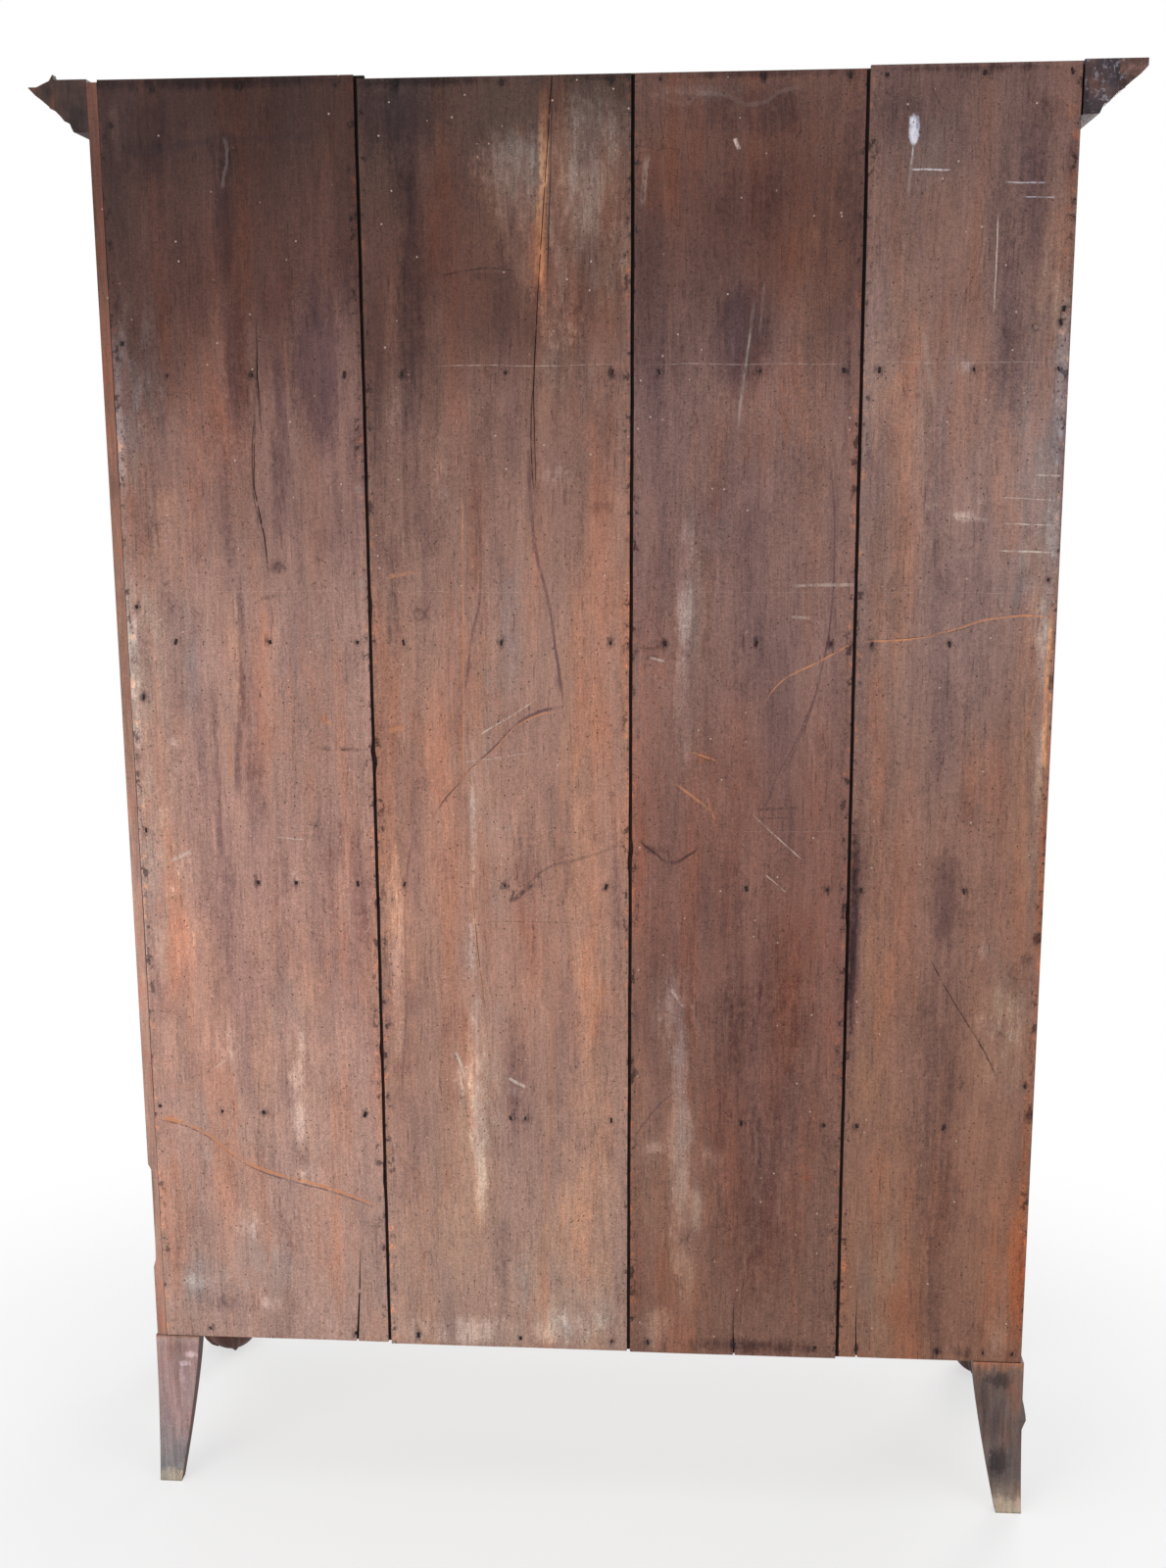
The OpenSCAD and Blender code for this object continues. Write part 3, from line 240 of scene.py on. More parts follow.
def mark_tool(name, needs, build):
    """A mark's own small group of nodes, made once and used for every mark of its kind."""
    tool = bpy.data.node_groups.new(name, "ShaderNodeTree")
    for need in needs:
        kind = "Vector" if need in ("Flat", "Start", "Way", "Side way") else "Float"
        tool.interface.new_socket(need, in_out="INPUT", socket_type="NodeSocket" + kind)
    tool.interface.new_socket("Mask", in_out="OUTPUT", socket_type="NodeSocketFloat")
    given = tool.nodes.new("NodeGroupInput").outputs
    tool.links.new(build(tool, given), tool.nodes.new("NodeGroupOutput").inputs[0])
    return tool


def straight_mark(tree, given):
    """Strong near a straight run, thinner at its ends and broken by the wood's fibres."""
    moved = arrow(tree, "SUBTRACT", given["Flat"], given["Start"])
    along = arrow(tree, "DOT_PRODUCT", moved, given["Way"])
    off = arrow(tree, "DOT_PRODUCT", moved, given["Side way"])
    off = calc(tree, "ABSOLUTE", plus(tree, off, times(tree, given["Waver"], 6.0)))
    off = plus(tree, off, times(tree, given["Specks"], times(tree, given["Width"], 1.8)))
    middle = calc(tree, "ABSOLUTE", minus(tree, along, given["Half run"]))
    inside = times(tree, fade(tree, off, given["Width"], times(tree, given["Width"], 0.5)),
                   fade(tree, middle, given["Half run"], times(tree, given["Half run"], 0.64)))
    least = times(tree, given["Strength"], 0.15)
    return times(tree, inside, fade(tree, given["Ragged"], -0.20, 0.12, least, given["Strength"]))


def curved_mark(tree, given):
    """Strong near a curved run, with the same thin ends and breaks."""
    off = plus(tree, given["Offset"], times(tree, given["Waver"], 4.0))
    off = calc(tree, "ABSOLUTE", minus(tree, off, given["Side"]))
    off = plus(tree, off, times(tree, given["Specks"], times(tree, given["Width"], 1.8)))
    inside = fade(tree, off, given["Width"], times(tree, given["Width"], 0.45))
    from_end = minus(tree, 0.5, calc(tree, "ABSOLUTE", minus(tree, given["Share"], 0.5)))
    inside = times(tree, inside, fade(tree, from_end, 0.0, 0.12))
    least = times(tree, given["Strength"], 0.3)
    return times(tree, inside, fade(tree, given["Ragged"], -0.22, 0.12, least, given["Strength"]))


EVERY_MARK = ("Width", "Strength", "Waver", "Specks", "Ragged")
straight_tool = mark_tool("straight_mark", ("Flat", "Start", "Way", "Side way", "Half run", *EVERY_MARK),
                          straight_mark)
curved_tool = mark_tool("curved_mark", ("Offset", "Side", "Share", *EVERY_MARK), curved_mark)


def draw(tree, place, tool, width, strength, shape):
    given = {"Width": width, "Strength": strength, "Waver": place["waver"], "Specks": place["specks"],
             "Ragged": place["ragged"], **shape}
    return node(tree, "Group", given, node_tree=tool).outputs[0]


def stroke(tree, place, start_across, start_up, end_across, end_up, width, strength):
    """A straight scratch from one place to another."""
    run = Vector((end_across - start_across, end_up - start_up))
    way = run.normalized()
    return draw(tree, place, straight_tool, width, strength, {
        "Flat": place["flat"], "Start": (start_across, start_up, 0), "Way": (way.x, way.y, 0),
        "Side way": (-way.y, way.x, 0), "Half run": run.length / 2})


def line(tree, place, path, width, strength, down=True):
    """A curved line; its path gives the place across for each height, or the other way round."""
    along = place["up"] if down else place["across"]
    offset = place["across"] if down else place["up"]
    ends = [min(p[0] for p in path), max(p[0] for p in path)]
    sides = [min(p[1] for p in path) - 1, max(p[1] for p in path) + 1]
    share = fade(tree, along, ends[0], ends[1], smooth=False)
    curve = node(tree, "FloatCurve", {"Value": share})
    points = curve.mapping.curves[0].points
    steps = sorted(((a - ends[0]) / (ends[1] - ends[0]), (b - sides[0]) / (sides[1] - sides[0]))
                   for a, b in path)
    while len(points) < len(steps):
        points.new(0.5, 0.5)
    for made, step in zip(points, steps):
        made.location = step
        made.handle_type = "AUTO"
    curve.mapping.update()
    side = fade(tree, curve.outputs[0], 0, 1, sides[0], sides[1], smooth=False)
    return draw(tree, place, curved_tool, width, strength, {"Offset": offset, "Side": side, "Share": share})


def heaviest(tree, masks):
    """The strongest of several marks at each place."""
    top = masks[0]
    for mask in masks[1:]:
        top = calc(tree, "MAXIMUM", top, mask)
    return top


def dress(name, finish):
    piece = nodes[name]
    piece.data.materials.clear()
    piece.data.materials.append(finish)


def flecks(tree, point, scale, channel, rare, outer, inner):
    """Small spots in a few cells of an even pattern, fewer the nearer rare is to 1."""
    cells = node(tree, "TexVoronoi", {"Vector": point, "Scale": scale}, feature="F1")
    chance = node(tree, "SeparateColor", {0: cells.outputs["Color"]}).outputs[channel]
    spots = fade(tree, cells.outputs["Distance"], outer, inner)
    return times(tree, spots, fade(tree, chance, rare, rare + 0.02))


def specked(tree, point, colour, pale, dark, rare):
    """Small pale chips and small dark pits in the face of old wood."""
    chip = flecks(tree, point, 62.0, 0, rare, 0.11, 0.04)
    colour = blend(tree, times(tree, chip, pale), colour, paint(196, 176, 164))
    pit = flecks(tree, point, 88.0, 1, rare + 0.02, 0.14, 0.06)
    return blend(tree, times(tree, pit, dark), colour, paint(52, 34, 30)), pit


def facing(tree):
    """How much a face looks along each axis."""
    return node(tree, "SeparateXYZ", {0: node(tree, "TexCoord").outputs["Normal"]}).outputs


def open_air(tree, reach):
    """1 on open faces, falling towards 0 in corners and quirks."""
    return node(tree, "AmbientOcclusion", {"Distance": reach}, samples=4).outputs["AO"]


def ease(tree, radius):
    """The face's direction, rounded over its edges."""
    return node(tree, "Bevel", {"Radius": radius}, samples=4).outputs[0]


def coat(tree, colour, dull, relief, strength, depth, eased=None, others=()):
    """The face of a finish: its colour, how dull it is, and its relief."""
    height = {"Height": relief, "Strength": strength, "Distance": depth}
    if eased is not None:
        height["Normal"] = eased
    face = {"Base Color": colour, "Roughness": dull, "Normal": node(tree, "Bump", height).outputs[0],
            **dict(others)}
    node(tree, "OutputMaterial", {"Surface": node(tree, "BsdfPrincipled", face).outputs[0]})


UPRIGHT = (1, 1, 0.05)


def polish(tree, point, seed, stretch, light):
    """The colour of old French-polished mahogany, its grain running where the stretch is small."""
    figure = noise(tree, point, 26, stretch, 5, seed, 0.62)
    colour = tones(tree, figure, [(0.30, (40, 18, 13)), (0.48, (80, 38, 25)), (0.62, (104, 52, 33)),
                                  (0.78, (132, 72, 46))])
    ribbon = noise(tree, point, 5, tuple(0.35 if part < 0.5 else 1.0 for part in stretch), 3, seed + 4)
    colour = wash(tree, fade(tree, ribbon, 0.35, 0.65, 0, 0.45), colour, (0.62, 0.55, 0.52))
    pores = noise(tree, point, 520, tuple(part * 0.9 if part < 0.5 else 1.0 for part in stretch), 2, seed + 7)
    pore = fade(tree, pores, 0.60, 0.72)
    colour = blend(tree, times(tree, pore, 0.75), colour, paint(26, 12, 9))
    return lighten(tree, colour, light), pore


# Heights in millimetres: the span of the post's tones and of the leg's, and where they meet.
POST_TOP, LEG_SCALE, LEG_TOP = 2000, 250, 239


def post_wood(name, seed, post_stops, leg_stops, marks):
    """Polished sides and a bare back, toned by height in the post and in its leg, and marked; painted shade
    darkens its corners.
    """
    finish, tree = new_finish(name)
    place = lay_out(tree)
    point = place["point"]
    grain = drift(tree, point, seed, 0.02)
    parts = []
    for top, lift, stops in ((POST_TOP, 16.0, post_stops), (LEG_SCALE, 26.0, leg_stops)):
        up = plus(tree, place["up"], times(tree, place["ragged"], lift))
        rise = fade(tree, up, 0, top, smooth=False)
        parts.append(tones(tree, rise, [(z / top, tone) for z, tone in stops]))
    bare = blend(tree, fade(tree, place["up"], LEG_TOP - 0.5, LEG_TOP + 0.5), parts[1], parts[0])
    mottle = noise(tree, point, 34, (1, 1, 0.45), 4, seed + 2, 0.65)
    bare = wash(tree, fade(tree, mottle, 0.50, 0.70, 0, 0.7), bare, (1.10, 0.84, 0.74))
    bare = wash(tree, fade(tree, mottle, 0.48, 0.30, 0, 0.7), bare, (0.70, 0.72, 0.80))
    for across, up, half_w, half_h, strength, tint in marks:
        bare = wash(tree, spot(tree, place, across, up, half_w, half_h, strength), bare, tint)
    shade = grain_light(tree, grain, seed, ((34, 0.10, 0.7), (120, 0.06, 0.9), (420, 0.05, 0.8),
                                            (300, 0.8, 0.5), (640, 1.0, 0.9)))
    bare = lighten(tree, bare, shade)
    bare, pit = specked(tree, point, bare, 0.55, 0.5, 0.72)
    rich, _ = polish(tree, point, seed, UPRIGHT, 0.85)
    behind = fade(tree, facing(tree)["Y"], 0.35, 0.6)
    colour = blend(tree, behind, rich, bare)
    # Painted shade: darker in the corners, where the faces close in.
    colour = blend(tree, fade(tree, open_air(tree, 0.01), 0.7, 0.35, 0, 0.6), colour, paint(30, 20, 18))
    relief = plus(tree, times(tree, shade, 0.6), times(tree, pit, -0.8))
    coat(tree, colour, fade(tree, behind, 0, 1, 0.40, 0.74), relief, 0.4, 0.001, ease(tree, 0.0018),
         {"Specular IOR Level": 0.3})
    return finish


dress("rear_post_right", post_wood("rear_post_right_wood", 51.0, [
    (2010, (104, 68, 56)), (1900, (92, 58, 47)), (1650, (122, 82, 67)), (1300, (152, 112, 95)),
    (900, (174, 134, 118)), (420, (164, 127, 112)), (245, (152, 114, 100))
], [
    (234, (166, 138, 130)), (226, (156, 128, 124)), (120, (158, 134, 132)), (60, (146, 134, 134)),
    (26, (136, 130, 130)), (10, (176, 164, 148))
], [
    (-604, 48, 24, 18, 0.45, (0.55, 0.57, 0.6)), (-618, 140, 12, 60, 0.35, (1.05, 0.78, 0.7)),
    (-600, 96, 12, 30, 0.5, (1.05, 0.76, 0.66)), (-590, 212, 11, 5, 0.9, (1.9, 2.1, 2.3)),
    (-601, 197, 9, 4, 0.9, (1.8, 2.0, 2.2)), (-606, 176, 4, 16, 0.6, (1.5, 1.6, 1.8)),
    (-612, 222, 16, 14, 0.5, (0.8, 0.66, 0.6)), (-583, 165, 8, 40, 0.3, (0.8, 0.78, 0.82)),
    (-598, 120, 20, 60, 0.45, (1.3, 1.32, 1.34))
]))
dress("rear_post_left", post_wood("rear_post_left_wood", 62.0, [
    (2010, (112, 78, 66)), (1300, (138, 100, 84)), (420, (132, 92, 76)), (245, (158, 108, 84))
], [
    (236, (140, 102, 84)), (224, (108, 90, 82)), (190, (108, 90, 84)), (120, (104, 88, 84)),
    (60, (98, 86, 82)), (30, (122, 108, 98)), (16, (168, 152, 134)), (4, (176, 164, 146))
], [
    (606, 214, 20, 12, 0.9, (0.40, 0.40, 0.44)), (588, 186, 10, 34, 0.7, (0.55, 0.55, 0.6)),
    (612, 84, 20, 26, 0.95, (0.32, 0.33, 0.38)), (600, 140, 16, 26, 0.6, (0.6, 0.6, 0.66)),
    (632, 190, 9, 44, 0.8, (1.35, 0.98, 0.76)), (622, 128, 10, 24, 0.6, (1.2, 0.9, 0.72)),
    (616, 28, 8, 14, 0.7, (1.5, 1.5, 1.5)), (596, 36, 8, 12, 0.6, (0.5, 0.5, 0.54))
]))


# Front posts, rails and frieze. Straight pieces of mahogany, tenoned together and French
# polished, with the grain running along each one.
ACROSS = (0.05, 1, 1)
DEEP = (1, 0.05, 1)


def on_edge(tree, eased, turned):
    """1 on a sharp edge, from how far the eased direction turns from the true one."""
    true = node(tree, "NewGeometry").outputs["True Normal"]
    return fade(tree, arrow(tree, "DOT_PRODUCT", eased, true), 0.99, turned)


def polished(name, seed, stretch=UPRIGHT, light=1.0, wear=0.7):
    """Old French polish, rubbed through on the edges and darkened in the corners with painted shade."""
    finish, tree = new_finish(name)
    point = where(tree)
    colour, pore = polish(tree, point, seed, stretch, light)
    patchy = noise(tree, point, 9, (1, 1, 0.7), 4, seed + 11, 0.6)
    fine = noise(tree, point, 160, (1, 1, 0.6), 5, seed + 13, 0.7)
    eased = ease(tree, 0.0018)
    air = open_air(tree, 0.018)
    edge = times(tree, on_edge(tree, eased, 0.86), fade(tree, air, 0.55, 0.85))
    rubbed = times(tree, edge, fade(tree, plus(tree, fine, patchy), 0.86, 1.16, 0.1, wear))
    colour = blend(tree, rubbed, colour, paint(152, 96, 62))
    # Painted shade: darker in the corners, from the ambient occlusion.
    colour = blend(tree, fade(tree, air, 0.72, 0.30, 0, 0.75), colour, paint(24, 13, 11))
    scuff = noise(tree, point, 300, tuple(0.12 if part < 0.5 else 1.0 for part in stretch), 3, seed + 15, 0.6)
    scuff = times(tree, fade(tree, scuff, 0.66, 0.74), fade(tree, patchy, 0.52, 0.62))
    colour = blend(tree, times(tree, scuff, 0.35), colour, paint(150, 110, 88))
    relief = minus(tree, times(tree, fine, 0.25), times(tree, pore, 0.7))
    gloss = plus(tree, fade(tree, patchy, 0.30, 0.70, 0.30, 0.46), times(tree, rubbed, 0.2))
    gloss = plus(tree, gloss, times(tree, scuff, 0.2))
    coat(tree, colour, gloss, relief, 0.22, 0.0006, eased, {"Coat Weight": 0.25, "Coat Roughness": 0.25})
    return finish


dress("front_post_left", polished("front_post_wood", 71.0))
dress("front_post_right", polished("front_post_right_wood", 72.0))
for name in ("left_side_rails", "right_side_rails"):
    dress(name, polished(name + "_wood", 73.0, DEEP))
for name in ("frieze_rail", "bottom_rail"):
    dress(name, polished(name + "_wood", 74.0, ACROSS))


# Side panels and glazing bars. Each end has one wide mahogany panel below, let into the
# frame's grooves, and a moulded frame of thin bars round the glass above.
for number, name in enumerate(("left_side_panel", "right_side_panel")):
    dress(name, polished(name + "_wood", 80.0 + number, UPRIGHT, 1.12))
for number, name in enumerate(("left_side_glazing_bars", "right_side_glazing_bars")):
    dress(name, polished(name + "_wood", 84.0 + number, UPRIGHT, 0.95))


# Top, bottom, shelves and their cleats. Plain cheaper boards that no one sees, planed and
# left dull, with dust on what faces up.
def plain_board(name, seed, stretch=ACROSS, dust=0.22, light=1.0):
    """Dull planed wood, darkened in its corners with painted shade, with dust on its upper face."""
    finish, tree = new_finish(name)
    point = where(tree)
    figure = noise(tree, point, 20, stretch, 5, seed, 0.6)
    colour = tones(tree, figure, [(0.30, (98, 62, 44)), (0.50, (140, 98, 70)), (0.70, (168, 126, 94))])
    fibres = noise(tree, point, 380, stretch, 3, seed + 2)
    shade = plus(tree, times(tree, fibres, 0.9), 0.55 * light)
    colour = lighten(tree, colour, shade)
    clouds = noise(tree, point, 7, (1, 1, 1), 4, seed + 3, 0.6)
    colour = wash(tree, fade(tree, clouds, 0.5, 0.7, 0, 0.6), colour, (0.62, 0.58, 0.58))
    dusty = fade(tree, clouds, 0.3, 0.6, dust * 0.4, dust)
    dusty = times(tree, fade(tree, facing(tree)["Z"], 0.6, 0.9), dusty)
    colour = blend(tree, dusty, colour, paint(162, 142, 122))
    # Painted shade: darker in the corners, from the ambient occlusion.
    colour = blend(tree, fade(tree, open_air(tree, 0.05), 0.7, 0.25, 0, 0.6), colour, paint(40, 26, 20))
    colour, _ = specked(tree, point, colour, 0.2, 0.5, 0.86)
    coat(tree, colour, fade(tree, clouds, 0.3, 0.7, 0.58, 0.76), shade, 0.3, 0.0008, ease(tree, 0.0015),
         {"Specular IOR Level": 0.3})
    return finish


dress("top_board", plain_board("top_board_wood", 91.0, dust=0.75, light=0.8))
dress("bottom_board", plain_board("bottom_board_wood", 92.0))
for number in range(1, 5):
    dress(f"shelf_{number}", plain_board(f"shelf_{number}_wood", 92.0 + number))
dress("shelf_cleats", plain_board("cleat_wood", 98.0, DEEP, 0.2))


# Mouldings round the foot of the case. Strips of mahogany, shaped with a moulding plane,
# glued and pinned to the front and both ends and polished with them.
for side, way in (("front", ACROSS), ("left", DEEP), ("right", DEEP)):
    name = "base_moulding_" + side
    dress(name, polished(name + "_wood", 101.0, way, 0.9, 0.9))


# Cornice. A built-up core with the crown moulding nailed outside it, polished to the front
# and sides. Both ends were sawn off flush with the back, and one crown has lost a corner.
SAWN_FACE = 0.180


def cornice_wood(name, seed, stretch, end_tones, marks=(), scraped=0.0):
    """Polished wood, with dust on top, painted shade in its corners and rough end grain where it was sawn off
    at the back.
    """
    finish, tree = new_finish(name)
    place = lay_out(tree)
    point = place["point"]
    rich, pore = polish(tree, point, seed, stretch, 0.85)
    rough = noise(tree, point, 90, (1, 1, 1), 5, seed + 3, 0.7)
    sawn = noise(tree, point, 240, (1, 1, 0.12), 3, seed + 5, 0.6)
    end = tones(tree, noise(tree, point, 30, (1, 1, 0.5), 4, seed + 6, 0.65),
                [(0.36 + 0.14 * number, tone) for number, tone in enumerate(end_tones)])
    light = plus(tree, times(tree, plus(tree, rough, sawn), 1.3), -0.3)
    end = lighten(tree, end, light)
    for across, up, half_w, half_h, strength, tint in marks:
        end = wash(tree, spot(tree, place, across, up, half_w, half_h, strength), end, tint)
    scratch = noise(tree, point, 70, (1, 1, 1), 6, seed + 8, 0.75)
    thin = calc(tree, "ABSOLUTE", minus(tree, scratch, 0.5))
    thin = times(tree, fade(tree, thin, 0.022, 0.006), fade(tree, rough, 0.47, 0.55))
    end = blend(tree, times(tree, thin, scraped), end, paint(150, 148, 158))
    looks = facing(tree)
    depth = node(tree, "SeparateXYZ", {0: point}).outputs["Y"]
    cut = times(tree, fade(tree, looks["Y"], 0.3, 0.5), fade(tree, depth, SAWN_FACE, SAWN_FACE + 0.005))
    on_top = fade(tree, looks["Z"], 0.8, 0.95)
    colour = blend(tree, cut, rich, end)
    dusty = times(tree, on_top, fade(tree, rough, 0.3, 0.6, 0.4, 0.8))
    colour = blend(tree, dusty, colour, paint(118, 100, 88))
    # Painted shade: darker in the corners and quirks, from the ambient occlusion.
    colour = blend(tree, fade(tree, open_air(tree, 0.02), 0.7, 0.3, 0, 0.7), colour, paint(20, 12, 12))
    relief = minus(tree, times(tree, light, 0.6), pore)
    dull = fade(tree, calc(tree, "MAXIMUM", cut, on_top), 0, 1, 0.50, 0.74)
    coat(tree, colour, dull, relief, 0.35, 0.0012, ease(tree, 0.0015), {"Specular IOR Level": 0.35})
    return finish


dark_end = ((40, 27, 25), (60, 42, 38), (74, 50, 44))
dress("cornice_core_right", cornice_wood("core_right_wood", 111.0, DEEP, dark_end))
dress("cornice_crown_right", cornice_wood("crown_right_wood", 112.0, DEEP, (
    (44, 31, 28), (66, 45, 38), (84, 54, 43)
), [
    (-698, 2006, 14, 8, 0.8, (0.5, 0.6, 0.75)), (-682, 1996, 8, 10, 0.6, (1.5, 1.05, 0.85)),
    (-704, 1975, 8, 16, 0.7, (0.42, 0.62, 0.95)), (-690, 1960, 8, 12, 0.6, (0.5, 0.5, 0.55))
]))
dress("cornice_core_left", cornice_wood("core_left_wood", 113.0, DEEP, (
    (44, 35, 40), (64, 52, 56), (86, 66, 64)
), [
    (655, 1995, 16, 20, 0.6, (1.3, 0.95, 0.8)), (660, 1935, 20, 30, 0.6, (0.75, 0.8, 1.0))
], 0.85))
dress("cornice_crown_left", cornice_wood("crown_left_wood", 114.0, DEEP, (
    (60, 42, 40), (88, 62, 56), (108, 78, 70)
), [
    (700, 2008, 22, 8, 0.9, (1.8, 1.8, 1.8)), (694, 1975, 12, 14, 0.7, (0.6, 0.5, 0.5)),
    (674, 1960, 3, 60, 0.8, (0.4, 0.35, 0.35))
], 0.7))
for name in ("cornice_core_front", "cornice_crown_front"):
    dress(name, cornice_wood(name + "_wood", 115.0, ACROSS, dark_end))


# Back boards. Four wide sawn boards, lapped at their edges and nailed to the shelves. They
# were stained thinly long ago and have faded, stained, split and been scratched since.
# Depths in metres; after them, heights and reaches in millimetres.
CASE_BACK, BOARD_INSIDE = 0.2375, 0.2265
SHOWN_HALF, LAP_FACE, HOLLOW = 0.0054, 0.0056, 0.0006
BOARD_FOOT, BOARD_RUN = 240.0, 1780.0
EDGE_REACH, RUST_REACH = 15, 7.5
# For each layer of grain: its scale, its stretch along the board and its strength.
GRAIN = ((9, 0.14, 0.40), (30, 0.09, 0.50), (110, 0.06, 0.50), (420, 0.06, 0.65), (210, 0.9, 0.65),
         (620, 0.9, 1.60))
# For each kind of stain: the tone of its thin marks and the tint of its soft patches.
STAINS = {"warm": ((172, 122, 98), (1.14, 0.94, 0.80)), "deep": ((84, 58, 62), (0.52, 0.49, 0.58)),
          "dark": ((46, 32, 34), (0.34, 0.29, 0.33)), "grey": ((150, 138, 132), (0.90, 1.10, 1.22)),
          "orange": ((194, 130, 90), (1.18, 0.90, 0.68)), "light": ((196, 160, 138), (1.22, 1.16, 1.04)),
          "pale": ((204, 188, 176), (1.60, 1.85, 1.95)), "cut": ((30, 18, 17), (0.28, 0.24, 0.26)),
          "bare": ((176, 152, 138), (1.62, 1.72, 1.72)), "white": ((212, 210, 218), (3.2, 5.6, 7.4))}


def old_board(name, seed, stops, marks):
    """Toned by height, then mottled, stained, marked, rusted round nails and split at its edges."""
    finish, tree = new_finish(name)
    place = lay_out(tree)
    point = place["point"]
    grain = drift(tree, point, seed)
    lift = times(tree, minus(tree, noise(tree, grain, 8, (1, 1, 0.22), 4, seed + 30), 0.5), 420.0)
    height = fade(tree, plus(tree, place["up"], lift), BOARD_FOOT, BOARD_FOOT + BOARD_RUN, smooth=False)
    colour = tones(tree, height, [((z - BOARD_FOOT) / BOARD_RUN, tone) for z, tone in stops])

    hue = noise(tree, grain, 15, (1, 0.6, 0.14), 4, seed + 8, 0.62)
    colour = wash(tree, fade(tree, hue, 0.48, 0.70, 0, 0.85), colour, (1.20, 0.94, 0.78))
    colour = wash(tree, fade(tree, hue, 0.49, 0.29, 0, 0.75), colour, (0.74, 0.75, 0.85))
    clouds = noise(tree, point, 6, (1, 1, 0.6), 4, seed + 17, 0.6)
    colour = wash(tree, fade(tree, clouds, 0.52, 0.72, 0, 0.5), colour, (0.72, 0.69, 0.74))
    colour = wash(tree, fade(tree, clouds, 0.46, 0.28, 0, 0.4), colour, (1.18, 1.16, 1.12))
    mottle = noise(tree, point, 26, (1, 1, 0.5), 5, seed + 19, 0.68)
    colour = wash(tree, fade(tree, mottle, 0.52, 0.70, 0, 0.6), colour, (0.70, 0.67, 0.70))
    colour = wash(tree, fade(tree, mottle, 0.47, 0.32, 0, 0.5), colour, (1.22, 1.20, 1.18))
    shade = grain_light(tree, grain, seed, GRAIN)
    colour = lighten(tree, colour, shade)
    fleck = noise(tree, grain, 330, (1, 1, 0.10), 3, seed + 27, 0.6)
    colour = wash(tree, fade(tree, fleck, 0.60, 0.70, 0, 0.55), colour, (0.42, 0.36, 0.38))
    rubbed = noise(tree, grain, 60, (1, 1, 0.16), 5, seed + 21, 0.7)
    scuffed = times(tree, fade(tree, rubbed, 0.56, 0.70), fade(tree, clouds, 0.44, 0.58, 0.10, 0.28))
    colour = wash(tree, scuffed, colour, (1.45, 1.50, 1.60))

    wander = noise(tree, point, 7, (1, 1, 0.8), 2, seed + 37, 0.55)
    hair = minus(tree, calc(tree, "MODULO", times(tree, wander, 7.0), 1.0), 0.5)
    hair = calc(tree, "ABSOLUTE", hair)
    hair = times(tree, fade(tree, hair, 0.022, 0.006), fade(tree, mottle, 0.52, 0.62, 0, 0.5))
    colour = wash(tree, hair, colour, (0.45, 0.40, 0.42))
    patchy = noise(tree, point, 34, (1, 1, 0.35), 4, seed + 41, 0.65)
    for kind, (tone, tint) in STAINS.items():
        held = node(tree, "Attribute", attribute_name="stain_" + kind).outputs["Fac"]
        torn = plus(tree, held, times(tree, place["ragged"], 0.9))
        soft = fade(tree, torn, 0.34, 0.66) if kind in ("white", "cut") else fade(tree, torn, 0.10, 0.90)
        soft = times(tree, soft, fade(tree, held, 0.0, 0.3))
        if kind in ("pale", "grey", "light"):
            soft = times(tree, soft, fade(tree, patchy, 0.40, 0.60, 0.25, 1.0))
        colour = wash(tree, soft, colour, tint)
        masks = []
        for first, *rest in marks.get(kind, []):
            if first in ("down", "across"):
                masks.append(line(tree, place, *rest, down=first == "down"))
            else:
                masks.append(stroke(tree, place, first, *rest))
        if masks:
            colour = blend(tree, heaviest(tree, masks), colour, paint(*tone))

    halo = node(tree, "Attribute", attribute_name="nail_halo").outputs["Fac"]
    rust = fade(tree, plus(tree, halo, times(tree, place["ragged"], 1.2)), 0.30, 0.95, 0, 0.80)
    colour = wash(tree, rust, colour, (0.20, 0.18, 0.24))
    edge = node(tree, "Attribute", attribute_name="near_edge").outputs["Fac"]
    knocked = noise(tree, point, 75, (1, 1, 0.8), 5, seed + 43, 0.7)
    near = times(tree, edge, patchy)
    splinters = times(tree, fade(tree, knocked, 0.575, 0.62, 0, 0.85), fade(tree, near, 0.22, 0.40))
    colour = wash(tree, splinters, colour, (1.75, 1.32, 1.00))
    bruised = times(tree, fade(tree, knocked, 0.45, 0.39, 0, 0.85), fade(tree, near, 0.18, 0.36))
    colour = wash(tree, bruised, colour, (0.20, 0.17, 0.21))
    colour, pit = specked(tree, point, colour, 0.75, 0.8, 0.74)

    # Painted shade down in the seams, as far as the laps and no farther in.
    depth = node(tree, "SeparateXYZ", {0: point}).outputs["Y"]
    seam_shade = times(tree, fade(tree, depth, CASE_BACK - 0.0018, CASE_BACK - 0.0040),
                 fade(tree, depth, CASE_BACK - 0.0085, CASE_BACK - 0.0065))
    colour = wash(tree, seam_shade, colour, (0.10, 0.08, 0.09))

    relief = noise(tree, grain, 200, (1, 0.8, 0.12), 3, seed + 33, 0.7)
    relief = minus(tree, relief, times(tree, pit, 0.9))
    relief = minus(tree, relief, times(tree, fade(tree, fleck, 0.60, 0.70), 0.3))
    coat(tree, colour, fade(tree, clouds, 0.3, 0.7, 0.62, 0.80), relief, 0.4, 0.0012,
         others={"Specular IOR Level": 0.22})
    return finish


def nail_places():
    """The middle of each nail, from the solid nails that the case has."""
    corners = np.array([vertex.co for vertex in nodes["back_nails"].data.vertices])[:, [0, 2]]
    widest = 0.009
    found = []
    while len(corners):
        near = np.abs(corners - corners[0]).max(axis=1) < widest
        found.append(tuple(corners[near].mean(axis=0)))
        corners = corners[~near]
    return found


nails = nail_places()


def stain(spots, patches):
    """How strongly each place is stained: each patch is a middle, two half sizes and a strength."""
    held = np.zeros(len(spots))
    for across, up, half_w, half_h, strength in patches:
        reach = np.hypot((spots[:, 0] - across) / half_w, (spots[:, 1] - up) / half_h)
        held = np.maximum(held, strength * np.clip(1.45 - reach, 0, 1))
    return held


